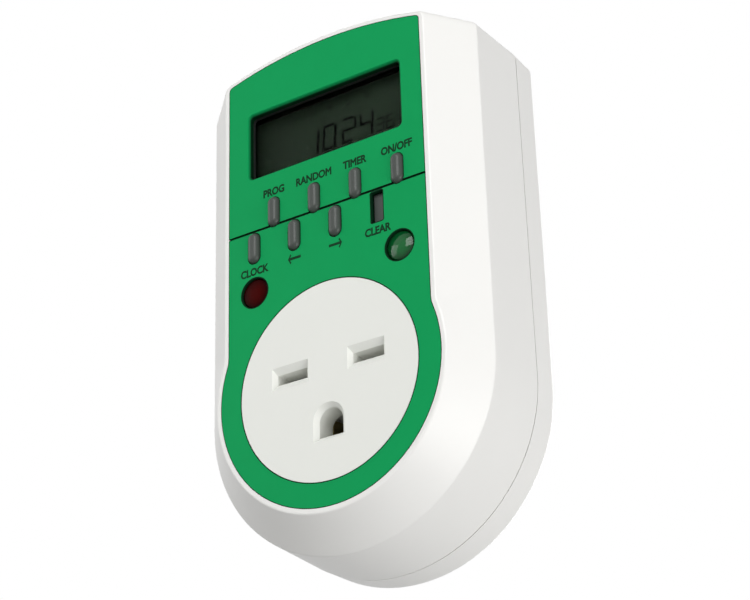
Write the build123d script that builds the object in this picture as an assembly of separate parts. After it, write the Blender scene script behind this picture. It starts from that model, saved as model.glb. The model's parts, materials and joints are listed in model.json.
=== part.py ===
from build123d import *
import math
import os

# Plug-in timer switch for a socket with two flat slots in line and an earth hole below them.
# X points right and Z up as seen from the front; Y points into the wall. The origin lies on the
# back face, midway between the two line blades. Sizes are in millimetres. A depth is measured
# from the front face towards the wall.

# ---- body ----
BODY_DEPTH = 30.7
HALF_WIDTH = 33.9
TOP_Z = 78.25
TOP_R = 77.1
CORNER_R = 1.8
WALL = 2.0
WALL_FLARE = 0.3
LOW_SLOPE = 0.04
CREASE_DEPTH = 7.36
CREASE_FILLET = 0.6
COVER_HEIGHT = 8.05
COVER_STEP = 0.05
COVER_DRAFT = 0.35
COVER_FILLET = 1.5
SEAM_WIDTH = 0.35
SEAM_DEPTH = 0.6
TONGUE_HEIGHT = 1.6
TONGUE_THICKNESS = 1.2
TONGUE_GAP = 0.2

# ---- face plate and its rim ----
PLATE_HALF_WIDTH = 24.42
RING_SPREAD = 1.86
PLATE_TOP_R = 93.2
TOP_BEVEL = 1.9
PLATE_CORNER_R = 1.0
PLATE_BLEND_R = 6.0
PLATE_THICKNESS = 2.0
PLATE_GAP = 0.15
RIM_WIDTH = 1.15
RIM_FILLET = 0.6
FRONT_WALL = 2.0
GROOVE_Z = 34.95
GROOVE_WIDTH = 0.5
GROOVE_DEPTH = 0.4
FIT_GAP = 0.15

# ---- socket pattern ----
SLOT_SPACING = 18.26
EARTH_DROP = 11.9
SLOT_RISE = 3.1
DISC_R = 21.15
SLOT_LENGTH = 7.2
SLOT_HEIGHT = 2.2
SLOT_BEVEL_END = 0.8
SLOT_BEVEL_SIDE = 1.35
EARTH_WIDTH = 5.6
EARTH_HEIGHT = 5.9
EARTH_BEVEL = 0.9
BEVEL_DEPTH = 1.0
DISC_THICKNESS = 5.4
FLANGE_WIDTH = 2.25
FLANGE_THICKNESS = 1.5
WELL_WALL = 1.3
LINE_WELL_LENGTH = 8.8
LINE_WELL_HEIGHT = 5.2
EARTH_WELL_WIDTH = 7.6
EARTH_WELL_HEIGHT = 7.6
CARRIER_POST_X = 15.5
CARRIER_POST_DROP = 10.5
CARRIER_POST_R = 2.4

# ---- socket contacts and their carrier ----
SPRING_THICKNESS = 0.5
LINE_SPRING_WIDTH = 6.0
EARTH_SPRING_WIDTH = 5.2
LINE_PINCH = 1.3
EARTH_PINCH = 4.55
LINE_MOUTH = 3.0
EARTH_MOUTH = 5.75
SPRING_INSET = 0.6
SPRING_BEND_R = 0.6
PINCH_REACH = 3.0
PINCH_SLOPE = 4.0
TAIL_WIDTH = 4.0
TAIL_THICKNESS = 0.8
CARRIER_INSET = 0.55
CARRIER_THICKNESS = 2.2
CARRIER_GAP = 0.2
PAD_WIDTH = 2.0
PAD_HEIGHT = 2.7
TAB_CLEARANCE = 1.0

# ---- plug ----
BLADE_WIDTH = 6.35
BLADE_THICKNESS = 1.52
BLADE_LENGTH = 17.9
BLADE_TIP = 1.4
BLADE_LIP = 0.45
BLADE_HOLE_R = 1.6
BLADE_HOLE_OUT = 11.9
PIN_R = 2.38
PIN_LENGTH = 20.6
PIN_TIP_FILLET = 1.3
PLUG_GAP = 0.1
SEAT_RISE = 2.5
FOOT_THICKNESS = 1.5
BLADE_FOOT_LENGTH = 9.6
BLADE_FOOT_HEIGHT = 5.0
TAB_RISE = 7.0
PIN_SHOULDER_R = 3.0
PIN_COLLAR_R = 4.2
PLUG_SEAT_MARGIN = 2.5

# ---- display ----
WINDOW_Z = 55.45
WINDOW_WIDTH = 38.2
WINDOW_HEIGHT = 15.3
WINDOW_CORNER_R = 0.9
WINDOW_EDGE = 0.5
PANE_MARGIN = 2.0
PANE_SIGHT = 1.3
PANE_THICKNESS = 1.2
PANE_GAP = 0.1
CELL_MARGIN_X = 3.0
CELL_MARGIN_Z = 2.0
CELL_LEDGE = 2.0
GLASS_THICKNESS = 1.1
HOLDER_MARGIN = 1.2
HOLDER_PEG_R = 1.0

# ---- keys ----
KEY_PITCH = 10.23
UPPER_KEY_Z = 38.03
UPPER_KEY_X = -12.76
LOWER_KEY_Z = 31.0
LOWER_KEY_X = -17.89
KEY_WIDTH = 2.8
KEY_LENGTH = 6.8
KEY_PROUD = 1.0
KEY_CROWN = 1.1
KEY_GAP = 0.15
KEY_FLANGE_SIDE = 0.6
KEY_FLANGE_THICKNESS = 0.8
KEY_TRAVEL = 0.8
RESET_SUNK = 1.0
RESET_EDGE = 0.3
DOME_MARGIN = 0.5
DOME_SIDE = 0.6
MAT_THICKNESS = 0.6
MAT_GAP = 0.15
MAT_MARGIN = 0.7

# ---- lamps ----
LAMP_INSET = 6.6
LAMP_Z = 20.81
LENS_R = 3.3
LENS_SUNK = 0.4
LENS_FLANGE = 0.9
LENS_FLANGE_THICKNESS = 0.8
LED_R = 1.5
LED_BASE_R = 1.9
LED_BASE = 0.8
LED_BORE_GAP = 0.25
LED_TOP_DEPTH = 2.6
LED_DOME = 1.35

# ---- boards ----
CONTROL_BOARD_DEPTH = 7.6
CONTROL_BOARD_HALF_WIDTH = 24.2
CONTROL_BOARD_LOW = 17.4
CONTROL_BOARD_HIGH = 71.2
CONTROL_BOARD_THICKNESS = 1.2
CONTROL_POST_X = 22.0
CONTROL_POST_LOW = 27.2
CONTROL_POST_HIGH = 69.0
CONTROL_POST_R = 2.2
SOCKET_CLEARANCE = 1.4
POWER_BOARD_RISE = 2.8
POWER_BOARD_HALF_WIDTH = 23.5
POWER_BOARD_LOW = 24.5
POWER_BOARD_HIGH = 69.0
POWER_BOARD_THICKNESS = 1.6
POWER_POST_X = 20.5
POWER_POST_LOW = 27.6
POWER_POST_HIGH = 66.0
POWER_POST_R = 2.6
BOARD_CORNER_R = 1.5

# ---- parts on the boards ----
CHIP_X = 3.0
CHIP_Z = 40.0
CHIP_SIZE = 10.0
CHIP_HEIGHT = 1.6
CRYSTAL_X = 14.0
CRYSTAL_Z = 36.4
CRYSTAL_R = 1.0
CRYSTAL_LENGTH = 6.0
CELL_X = -11.5
CELL_Z = 40.5
CELL_R = 7.8
CELL_HEIGHT = 6.0
CELL_EDGE = 0.6
BOX_EDGE = 0.6
RELAY_X = 10.0
RELAY_Z = 56.0
RELAY_WIDTH = 19.0
RELAY_LENGTH = 15.5
RELAY_CLEARANCE = 2.2
FILM_X = -10.5
FILM_Z = 60.0
FILM_WIDTH = 17.5
FILM_LENGTH = 8.0
FILM_CLEARANCE = 2.8
ELECTROLYTIC_X = 0.5
ELECTROLYTIC_Z = 36.0
ELECTROLYTIC_R = 4.0
ELECTROLYTIC_CLEARANCE = 4.8
ELECTROLYTIC_BEAD = 0.4
VARISTOR_X = 14.5
VARISTOR_Z = 40.0
VARISTOR_R = 5.0
VARISTOR_THICKNESS = 3.6
VARISTOR_LEAD = 2.0
VARISTOR_ROUND = 1.1
FUSE_X = 12.0
FUSE_Z = 31.2
FUSE_R = 1.8
FUSE_LENGTH = 8.0
FUSE_SPAN = 11.0
DIODE_X = -17.0
DIODE_Z = 46.0
DIODE_R = 1.35
DIODE_LENGTH = 5.0
DIODE_SPAN = 8.0
DIODE_PITCH = 4.0
DIODE_COUNT = 4
RESISTOR_X = -9.0
RESISTOR_Z = 52.0
RESISTOR_R = 2.1
RESISTOR_LENGTH = 9.0
RESISTOR_SPAN = 12.5
AXIAL_LIFT = 0.4
LEAD_R = 0.4
LINK_X = -8.0
LINK_WIDTH = 10.0
LINK_THICKNESS = 0.9
LINK_FRONT_Z = 23.0
LINK_BACK_Z = 27.0
LINK_BEND_R = 1.6

# ---- inner wires ----
WIRE_R = 1.1
WIRE_BEND_R = 3.0
WIRE_LIFT = 4.2
WIRE_TURN_Z = 16.5
WIRE_LANE_Z = 22.0
WIRE_END_Z = 27.2
FEED_END_X = 15.0
SWITCHED_END_X = 6.0
RETURN_END_X = -15.5

# ---- screws ----
TOP_SCREW_X = 27.6
TOP_SCREW_Z = 62.0
LOW_SCREW_ANGLE = -45.0
LOW_SCREW_REACH = 27.6
BOSS_R = 3.1
BOSS_START = 3.0
BOSS_RIB = 1.6
BOSS_GAP = 0.2
COVER_POST_R = 3.8
SCREW_R = 1.45
SCREW_GAP = 0.05
SCREW_HEAD_R = 2.6
SCREW_HEAD_HEIGHT = 1.8
SCREW_LENGTH = 11.0
SCREW_SEAT_RISE = 2.8
SINK_GAP = 0.3
SMALL_SCREW_R = 1.0
SMALL_HEAD_R = 1.9
SMALL_HEAD_HEIGHT = 1.3
CONTROL_SCREW_LENGTH = 3.6
POWER_SCREW_LENGTH = 3.6
CARRIER_SCREW_LENGTH = 6.0
HEAD_ROUND = 0.45
RECESS_REACH = 0.55
RECESS_WIDTH = 0.5
RECESS_DEPTH = 0.7

# ---- places worked out from the driving dimensions ----
DISC_Z = -SLOT_RISE
SLOT_X = SLOT_SPACING / 2
RING = (0, DISC_Z)
RING_R = PLATE_HALF_WIDTH + RING_SPREAD
TOP_CENTRE_Z = TOP_Z - TOP_R
PLATE_TOP_CENTRE_Z = TOP_Z - TOP_BEVEL - RIM_WIDTH - PLATE_TOP_R
FLANGE_R = DISC_R + FLANGE_WIDTH
CARRIER_R = DISC_R - CARRIER_INSET
LAMP_X = PLATE_HALF_WIDTH - LAMP_INSET
ZEBRA_THICKNESS = CELL_LEDGE - 2 * PANE_GAP
FLOOR_BACK = PLATE_THICKNESS + FRONT_WALL
PARTING_DEPTH = BODY_DEPTH - COVER_HEIGHT
COVER_FLOOR = BODY_DEPTH - WALL
SEAT_DEPTH = COVER_FLOOR - SEAT_RISE
FOOT_FRONT = SEAT_DEPTH - FOOT_THICKNESS
CARRIER_BACK = FOOT_FRONT - PAD_HEIGHT
CARRIER_FRONT = CARRIER_BACK - CARRIER_THICKNESS
WELL_BACK = CARRIER_FRONT - CARRIER_GAP
SCREW_SEAT = COVER_FLOOR - SCREW_SEAT_RISE
BOARD_BACK = CONTROL_BOARD_DEPTH + CONTROL_BOARD_THICKNESS
POWER_BOARD_DEPTH = COVER_FLOOR - POWER_BOARD_RISE - POWER_BOARD_THICKNESS
KEY_REST = FLOOR_BACK + KEY_GAP
KEY_FOOT = KEY_REST + KEY_FLANGE_THICKNESS
LARGE = 4 * HALF_WIDTH
BEND = math.tan(math.radians(22.5))
TOUCH = 0.01

UPPER_KEYS = ["set_key", "random_key", "countdown_key", "manual_key"]
LOWER_KEYS = ["time_key", "left_key", "right_key"]


def plane_at(depth):
    """Plane parallel to the front face at a depth, with local x along X and local y along Z."""
    return Plane(origin=(0, depth - BODY_DEPTH, 0), x_dir=(1, 0, 0), z_dir=(0, -1, 0))


def slab(shape, front, back):
    """Solid between two depths with the outline of a sketch."""
    return extrude(plane_at(back) * shape, amount=back - front)


def block(x, z, width, height, front, back):
    """Rectangular block centred on x and z, between two depths."""
    return slab(Pos(x, z) * Rectangle(width, height), front, back)


def rod(x, z, radius, front, back):
    """Round rod along Y between two depths."""
    return slab(Pos(x, z) * Circle(radius), front, back)


def taper(shape_front, shape_back, front, back):
    """Solid that changes from one outline to another between two depths."""
    return loft([plane_at(front) * shape_front, plane_at(back) * shape_back], ruled=True)


def bent_strip(points, thickness, width, plane, bend):
    """Strip of even thickness that follows a bent line, drawn in a plane and centred across it."""
    line = FilletPolyline(*points, radius=bend)
    outline = line.offset_2d(thickness / 2, kind=Kind.INTERSECTION, side=Side.BOTH)
    return extrude(plane * make_face(outline), amount=width / 2, both=True)


def side_plane(x):
    """Plane across X, with local x as depth and local y along Z."""
    return Plane(origin=(x, -BODY_DEPTH, 0), x_dir=(0, 1, 0), z_dir=(1, 0, 0))


def top_plane(z):
    """Plane across Z, with local x as depth and local y towards the left."""
    return Plane(origin=(0, -BODY_DEPTH, z), x_dir=(0, 1, 0), z_dir=(0, 0, 1))


def at(x, depth, z):
    """Point from x, a depth and z."""
    return (x, depth - BODY_DEPTH, z)


# ---- outlines ----
def low_drop(depth):
    """How far the body's round lower end has sunk at a depth behind the crease."""
    return LOW_SLOPE * (depth - CREASE_DEPTH)


def corner_arc(side, top_radius, corner):
    """Height above the top arc's centre, and angle, at which a corner meets side and top."""
    rise = math.sqrt((top_radius - corner) ** 2 - (side - corner) ** 2)
    return rise, math.degrees(math.atan2(rise, side - corner))


def ring_breaks(grow):
    """Blend centre beside the ring, measured from the disc's centre, and its angle."""
    side = PLATE_HALF_WIDTH + grow
    ring = RING_R + grow
    blend = PLATE_BLEND_R - grow
    rise = math.sqrt((ring + blend) ** 2 - (side + blend) ** 2)
    return rise, math.degrees(math.atan2(rise, side + blend))


def keyhole(grow):
    """Outline of the face plate moved outwards: round ring below, straight sides, arched top,
    and a short hollow curve where each side leaves the ring."""
    side = PLATE_HALF_WIDTH + grow
    ring = RING_R + grow
    top = PLATE_TOP_R + grow
    corner = max(PLATE_CORNER_R + grow, PLATE_CORNER_R / 2)
    blend = PLATE_BLEND_R - grow
    corner_rise, corner_angle = corner_arc(side, top, corner)
    corner_z = PLATE_TOP_CENTRE_Z + corner_rise
    rise, ring_angle = ring_breaks(grow)
    return [
        CenterArc((0, PLATE_TOP_CENTRE_Z), top, corner_angle, 180 - 2 * corner_angle),
        CenterArc((corner - side, corner_z), corner, 180 - corner_angle, corner_angle),
        Line((-side, corner_z), (-side, DISC_Z + rise)),
        CenterArc((-side - blend, DISC_Z + rise), blend, 0, -ring_angle),
        CenterArc(RING, ring, 180 - ring_angle, ring_angle),
        CenterArc(RING, ring, 180, 180),
        CenterArc(RING, ring, 0, ring_angle),
        CenterArc((side + blend, DISC_Z + rise), blend, 180 + ring_angle, -ring_angle),
        Line((side, DISC_Z + rise), (side, corner_z)),
        CenterArc((side - corner, corner_z), corner, 0, corner_angle),
    ]


def stadium(inset, drop=0):
    """Outline of the body moved inwards: half round below, straight sides and arched top. The
    sides are divided where rays through the keyhole's own breaks meet them. The drop lowers the
    round end."""
    side = HALF_WIDTH - inset
    top = TOP_R - inset
    corner = max(CORNER_R - inset, PLATE_CORNER_R / 2)
    corner_rise, corner_angle = corner_arc(side, top, corner)
    corner_z = TOP_CENTRE_Z + corner_rise
    rise, ring_angle = ring_breaks(0)
    ring_z = DISC_Z + side * math.tan(math.radians(ring_angle))
    blend_z = DISC_Z + rise * side / PLATE_HALF_WIDTH
    low_z = DISC_Z - drop
    return [
        CenterArc((0, TOP_CENTRE_Z), top, corner_angle, 180 - 2 * corner_angle),
        CenterArc((corner - side, corner_z), corner, 180 - corner_angle, corner_angle),
        Line((-side, corner_z), (-side, blend_z)),
        Line((-side, blend_z), (-side, ring_z)),
        Line((-side, ring_z), (-side, low_z)),
        CenterArc((0, low_z), side, 180, 180),
        Line((side, low_z), (side, ring_z)),
        Line((side, ring_z), (side, blend_z)),
        Line((side, blend_z), (side, corner_z)),
        CenterArc((side - corner, corner_z), corner, 0, corner_angle),
    ]


def face_of(edges):
    """Face inside a closed outline."""
    return Face(Wire(edges))


def through(sections):
    """Solid that joins outlines at increasing depths by straight walls."""
    return Solid.make_loft([plane_at(depth) * Wire(edges) for edges, depth in sections], ruled=True)


def level_edges(solid, depth):
    """Edges of a solid that lie in the plane at one depth."""
    y = depth - BODY_DEPTH
    flat = [edge for edge in solid.edges() if edge.bounding_box().size.Y < TOUCH]
    return [edge for edge in flat if abs(edge.center().Y - y) < TOUCH]


def arch(grow):
    """Earth hole's outline moved outwards: flat below and round above."""
    half = EARTH_WIDTH / 2
    low = -EARTH_HEIGHT / 2 - grow
    spring = EARTH_HEIGHT / 2 - half
    width = half + grow
    edges = [
        CenterArc((0, spring), width, 0, 180),
        Line((-width, spring), (-width, low)),
        Line((-width, low), (width, low)),
        Line((width, low), (width, spring)),
    ]
    return Pos(0, -EARTH_DROP) * face_of(edges)


def key_places():
    """Name, x and z of every key, the sunk one last."""
    places = [(name, UPPER_KEY_X + i * KEY_PITCH, UPPER_KEY_Z) for i, name in enumerate(UPPER_KEYS)]
    lower = LOWER_KEYS + ["reset_key"]
    places += [(name, LOWER_KEY_X + i * KEY_PITCH, LOWER_KEY_Z) for i, name in enumerate(lower)]
    return places


def key_outline(name, grow):
    """Key's outline, a pill, or a rectangle with small corners for the sunk key."""
    width = KEY_WIDTH + 2 * grow
    length = KEY_LENGTH + 2 * grow
    if name == "reset_key":
        return RectangleRounded(width, length, RESET_EDGE + max(grow, 0))
    return Rot(0, 0, 90) * SlotOverall(length, width)


def body_screw_places():
    """Where the four screws of the body stand, each with the direction of its nearest wall."""
    angle = math.radians(LOW_SCREW_ANGLE)
    low_x = LOW_SCREW_REACH * math.cos(angle)
    low_z = DISC_Z + LOW_SCREW_REACH * math.sin(angle)
    return [
        (TOP_SCREW_X, TOP_SCREW_Z, 0),
        (-TOP_SCREW_X, TOP_SCREW_Z, 180),
        (low_x, low_z, LOW_SCREW_ANGLE),
        (-low_x, low_z, 180 - LOW_SCREW_ANGLE),
    ]


def control_post_places():
    """Where the control board is screwed to the front housing."""
    return [(s * CONTROL_POST_X, z) for s in (-1, 1) for z in (CONTROL_POST_LOW, CONTROL_POST_HIGH)]


def power_post_places():
    """Where the power board is screwed to the rear cover."""
    return [(s * POWER_POST_X, z) for s in (-1, 1) for z in (POWER_POST_LOW, POWER_POST_HIGH)]


def carrier_post_places():
    """Where the contact carrier is screwed to the socket face."""
    return [(side * CARRIER_POST_X, -CARRIER_POST_DROP) for side in (-1, 1)]


def screw(x, z, radius, head_radius, head_height, seat, length, facing):
    """Pan-head screw along Y with a cross recess. Facing is 1 where the head looks to the wall
    and -1 where it looks to the front; the seat is the depth of the face under the head."""
    head_end = seat + facing * head_height
    tip = seat - facing * length
    head = rod(x, z, head_radius, min(seat, head_end), max(seat, head_end))
    head = fillet(level_edges(head, head_end), HEAD_ROUND * head_height)
    shank = rod(x, z, radius, min(seat, tip), max(seat, tip))
    recess = head_end - facing * RECESS_DEPTH
    low, high = sorted((recess, head_end))
    reach = 2 * RECESS_REACH * head_radius
    for width, height in ((reach, RECESS_WIDTH), (RECESS_WIDTH, reach)):
        head -= block(x, z, width, height, low, high)
    return head + shank


# ---- housings ----
def front_form(inset):
    """Front housing's outer form moved inwards: bevel from the rim to the crease, then walls
    that spread a little towards the parting line."""
    shift = inset * BEND
    return through([
        (keyhole(RIM_WIDTH - inset), shift),
        (stadium(inset), CREASE_DEPTH + shift),
        (stadium(inset - WALL_FLARE, low_drop(PARTING_DEPTH)), PARTING_DEPTH),
    ])


def rear_form(inset):
    """Rear cover's outer form moved inwards, from the parting line to the wall."""
    start = inset + COVER_STEP - WALL_FLARE
    return through([
        (stadium(start, low_drop(PARTING_DEPTH)), PARTING_DEPTH),
        (stadium(start + COVER_DRAFT, low_drop(BODY_DEPTH)), BODY_DEPTH),
    ])


def front_housing():
    """Front housing: shell with a rimmed pocket for the face plate, holes for everything that
    looks out, and the bosses and posts that take the screws."""
    form = front_form(0)
    form = fillet(level_edges(form, CREASE_DEPTH), CREASE_FILLET)
    form = fillet(level_edges(form, 0), RIM_FILLET)
    cavity = front_form(WALL) - block(0, 0, LARGE, 2 * LARGE, -1, FLOOR_BACK)
    shell = form - cavity
    shell -= slab(face_of(keyhole(PLATE_GAP)), -1, PLATE_THICKNESS)
    inner = front_form(WALL / 2)
    pilot_end = SCREW_SEAT - SCREW_LENGTH - SINK_GAP
    for x, z, outwards in body_screw_places():
        boss = rod(x, z, BOSS_R, BOSS_START, PARTING_DEPTH - BOSS_GAP)
        rib = Pos(x, z) * Rot(0, 0, outwards) * Pos(BOSS_R, 0) * Rectangle(2 * BOSS_R, BOSS_RIB)
        boss += slab(rib, BOSS_START, PARTING_DEPTH - TONGUE_HEIGHT - SINK_GAP)
        shell += boss & inner
        shell -= rod(x, z, SCREW_R + SCREW_GAP, pilot_end, PARTING_DEPTH)
    for x, z in control_post_places():
        shell += rod(x, z, CONTROL_POST_R, FLOOR_BACK, CONTROL_BOARD_DEPTH)
        shell -= rod(x, z, SMALL_SCREW_R + SCREW_GAP, FLOOR_BACK, CONTROL_BOARD_DEPTH)
    shell -= rod(0, DISC_Z, DISC_R + FIT_GAP, -1, FLOOR_BACK)
    pane_width = WINDOW_WIDTH + 2 * PANE_MARGIN + 2 * PANE_GAP
    pane_height = WINDOW_HEIGHT + 2 * PANE_MARGIN + 2 * PANE_GAP
    pane_back = PLATE_THICKNESS + PANE_THICKNESS
    shell -= block(0, WINDOW_Z, pane_width, pane_height, PLATE_THICKNESS, pane_back)
    shell -= block(0, WINDOW_Z, WINDOW_WIDTH + 2 * PANE_SIGHT, WINDOW_HEIGHT + 2 * PANE_SIGHT,
                   pane_back, FLOOR_BACK)
    for side in (-1, 1):
        shell -= rod(side * LAMP_X, LAMP_Z, LENS_R + FIT_GAP, PLATE_THICKNESS, FLOOR_BACK)
    for name, x, z in key_places():
        shell -= slab(Pos(x, z) * key_outline(name, KEY_GAP), PLATE_THICKNESS, FLOOR_BACK)
    return shell


def rear_cover():
    """Rear cover: shallow tray with a fine seam along its edge, a tongue that enters the front
    housing, posts for the screws and the raised seat with the plug's openings."""
    form = rear_form(0)
    form = fillet(level_edges(form, BODY_DEPTH), COVER_FILLET)
    floor = block(0, 0, LARGE, 2 * LARGE, COVER_FLOOR, BODY_DEPTH + 1)
    cover = form - (rear_form(WALL) - floor)
    drop = low_drop(PARTING_DEPTH)
    outer = WALL - WALL_FLARE + TONGUE_GAP
    hollow = face_of(stadium(outer + TONGUE_THICKNESS, drop))
    ring = face_of(stadium(outer, drop)) - hollow
    root = face_of(stadium(WALL / 2, drop)) - hollow
    cover += slab(ring, PARTING_DEPTH - TONGUE_HEIGHT, PARTING_DEPTH)
    cover += slab(root, PARTING_DEPTH, PARTING_DEPTH + TONGUE_HEIGHT)
    seam = face_of(stadium(-WALL, drop)) - face_of(stadium(SEAM_DEPTH - WALL_FLARE, drop))
    cover -= slab(seam, PARTING_DEPTH, PARTING_DEPTH + SEAM_WIDTH)
    inner = rear_form(WALL / 2)
    for x, z, _ in body_screw_places():
        cover -= rod(x, z, BOSS_R + FIT_GAP, PARTING_DEPTH - TONGUE_HEIGHT, PARTING_DEPTH)
        cover += rod(x, z, COVER_POST_R, PARTING_DEPTH, COVER_FLOOR) & inner
        cover -= rod(x, z, SCREW_R + SINK_GAP, PARTING_DEPTH - TONGUE_HEIGHT, SCREW_SEAT)
        cover -= rod(x, z, SCREW_HEAD_R + SINK_GAP, SCREW_SEAT, BODY_DEPTH)
    for x, z in power_post_places():
        cover += rod(x, z, POWER_POST_R, POWER_BOARD_DEPTH + POWER_BOARD_THICKNESS, COVER_FLOOR)
        cover -= rod(x, z, SMALL_SCREW_R + SCREW_GAP, POWER_BOARD_DEPTH, COVER_FLOOR)
    seat_width = SLOT_SPACING + BLADE_FOOT_LENGTH + 2 * PLUG_SEAT_MARGIN
    seat_top = BLADE_FOOT_HEIGHT / 2 + PLUG_SEAT_MARGIN
    seat_low = -EARTH_DROP - PIN_COLLAR_R - PLUG_SEAT_MARGIN
    seat_shape = Pos(0, (seat_top + seat_low) / 2) * RectangleRounded(
        seat_width, seat_top - seat_low, PLUG_SEAT_MARGIN)
    cover += slab(seat_shape, SEAT_DEPTH, COVER_FLOOR)
    for side in (-1, 1):
        cover -= block(side * SLOT_X, 0, BLADE_WIDTH + 2 * PLUG_GAP, BLADE_THICKNESS + 2 * PLUG_GAP,
                       SEAT_DEPTH, BODY_DEPTH)
    cover -= rod(0, -EARTH_DROP, PIN_SHOULDER_R + PLUG_GAP, SEAT_DEPTH, BODY_DEPTH)
    return cover


def face_plate():
    """Coloured plate in the housing's pocket, with the same openings and a fine groove across."""
    plate = slab(face_of(keyhole(0)), 0, PLATE_THICKNESS)
    plate -= rod(0, DISC_Z, DISC_R + FIT_GAP, 0, PLATE_THICKNESS)
    window = RectangleRounded(WINDOW_WIDTH, WINDOW_HEIGHT, WINDOW_CORNER_R)
    wide = RectangleRounded(WINDOW_WIDTH + 2 * WINDOW_EDGE, WINDOW_HEIGHT + 2 * WINDOW_EDGE,
                            WINDOW_CORNER_R + WINDOW_EDGE)
    plate -= slab(Pos(0, WINDOW_Z) * window, 0, PLATE_THICKNESS)
    plate -= taper(Pos(0, WINDOW_Z) * wide, Pos(0, WINDOW_Z) * window, 0, WINDOW_EDGE)
    plate -= block(0, GROOVE_Z, 2 * PLATE_HALF_WIDTH, GROOVE_WIDTH, 0, GROOVE_DEPTH)
    for side in (-1, 1):
        plate -= rod(side * LAMP_X, LAMP_Z, LENS_R + FIT_GAP, 0, PLATE_THICKNESS)
    for name, x, z in key_places():
        plate -= slab(Pos(x, z) * key_outline(name, KEY_GAP), 0, PLATE_THICKNESS)
    return plate


# ---- socket ----
def slot_shape(end, side):
    """Line slot's outline, widened at its ends and sides."""
    return Rectangle(SLOT_LENGTH + 2 * end, SLOT_HEIGHT + 2 * side)


def socket_face():
    """Round face with bevelled slots and earth hole, and a well behind each for its contact."""
    flange_back = FLOOR_BACK + FLANGE_THICKNESS
    face = rod(0, DISC_Z, DISC_R, 0, FLOOR_BACK)
    face += rod(0, DISC_Z, FLANGE_R, FLOOR_BACK, flange_back)
    earth_mid = -EARTH_DROP
    for x in (-SLOT_X, SLOT_X):
        face += block(x, 0, LINE_WELL_LENGTH + 2 * WELL_WALL, LINE_WELL_HEIGHT + 2 * WELL_WALL,
                      flange_back, WELL_BACK)
    face += block(0, earth_mid, EARTH_WELL_WIDTH + 2 * WELL_WALL, EARTH_WELL_HEIGHT + 2 * WELL_WALL,
                  flange_back, WELL_BACK)
    for x in (-SLOT_X, SLOT_X):
        face -= block(x, 0, LINE_WELL_LENGTH, LINE_WELL_HEIGHT, DISC_THICKNESS, WELL_BACK)
        face -= taper(Pos(x, 0) * slot_shape(SLOT_BEVEL_END, SLOT_BEVEL_SIDE),
                      Pos(x, 0) * slot_shape(0, 0), 0, BEVEL_DEPTH)
        face -= slab(Pos(x, 0) * slot_shape(0, 0), 0, DISC_THICKNESS)
    face -= block(0, earth_mid, EARTH_WELL_WIDTH, EARTH_WELL_HEIGHT, DISC_THICKNESS, WELL_BACK)
    face -= taper(arch(EARTH_BEVEL), arch(0), 0, BEVEL_DEPTH)
    face -= slab(arch(0), 0, DISC_THICKNESS)
    for x, z in carrier_post_places():
        face += rod(x, z, CARRIER_POST_R, flange_back, CARRIER_FRONT)
        face -= rod(x, z, SMALL_SCREW_R + SCREW_GAP, CARRIER_BACK - CARRIER_SCREW_LENGTH, CARRIER_FRONT)
    return face


def spring_contact(width, pinch, mouth, plane):
    """Two-leaved spring with a flared mouth, a narrow pinch and a closed base."""
    front = DISC_THICKNESS + SPRING_INSET
    back = WELL_BACK - SPRING_INSET
    half = SPRING_THICKNESS / 2
    narrow = pinch / 2 + half
    wide = mouth / 2 + half
    pinch_depth = front + PINCH_REACH
    shoulder = pinch_depth + PINCH_SLOPE
    points = [(front, wide), (pinch_depth, narrow), (shoulder, wide), (back, wide)]
    points += [(depth, -side) for depth, side in reversed(points)]
    return bent_strip(points, SPRING_THICKNESS, width, plane, SPRING_BEND_R)


def tail(x, z, end):
    """Flat tail from a contact's base towards the wall."""
    return block(x, z, TAIL_WIDTH, TAIL_THICKNESS, WELL_BACK - SPRING_INSET, end)


def line_contact(side):
    """Line contact. The left one is joined to its blade; the right one's tail ends in a tab for
    the switched wire."""
    x = side * SLOT_X
    contact = spring_contact(LINE_SPRING_WIDTH, LINE_PINCH, LINE_MOUTH, side_plane(x))
    if side < 0:
        return contact + tail(x, 0, FOOT_FRONT)
    front = CARRIER_BACK + TAB_CLEARANCE
    contact += tail(x, 0, front + TAIL_THICKNESS)
    height = TAB_RISE + TAIL_THICKNESS / 2
    middle = (TAB_RISE - TAIL_THICKNESS / 2) / 2
    return contact + block(x, middle, TAIL_WIDTH, height, front, front + TAIL_THICKNESS)


def ground_contact():
    """Earth contact, joined to the earth pin by its tail."""
    plane = top_plane(-EARTH_DROP)
    contact = spring_contact(EARTH_SPRING_WIDTH, EARTH_PINCH, EARTH_MOUTH, plane)
    return contact + tail(0, -EARTH_DROP, FOOT_FRONT)


def contact_carrier():
    """Round plate behind the wells; its pads press the plug's feet onto the cover."""
    carrier = rod(0, DISC_Z, CARRIER_R, CARRIER_FRONT, CARRIER_BACK)
    pads = [(-SLOT_X, 0, BLADE_FOOT_LENGTH), (0, -EARTH_DROP, 2 * PIN_COLLAR_R)]
    pad_out = (BLADE_FOOT_LENGTH - PAD_WIDTH) / 2
    pads += [(SLOT_X + side * pad_out, 0, PAD_WIDTH) for side in (-1, 1)]
    for x, z, width in pads:
        carrier += block(x, z, width, BLADE_FOOT_HEIGHT, CARRIER_BACK, FOOT_FRONT)
    for x, z in ((-SLOT_X, 0), (SLOT_X, 0), (0, -EARTH_DROP)):
        carrier -= block(x, z, TAIL_WIDTH + 2 * FIT_GAP, TAIL_THICKNESS + 2 * FIT_GAP,
                         CARRIER_FRONT, FOOT_FRONT)
    for x, z in carrier_post_places():
        carrier -= rod(x, z, SMALL_SCREW_R + SINK_GAP, CARRIER_FRONT, CARRIER_BACK)
    return carrier


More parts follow.
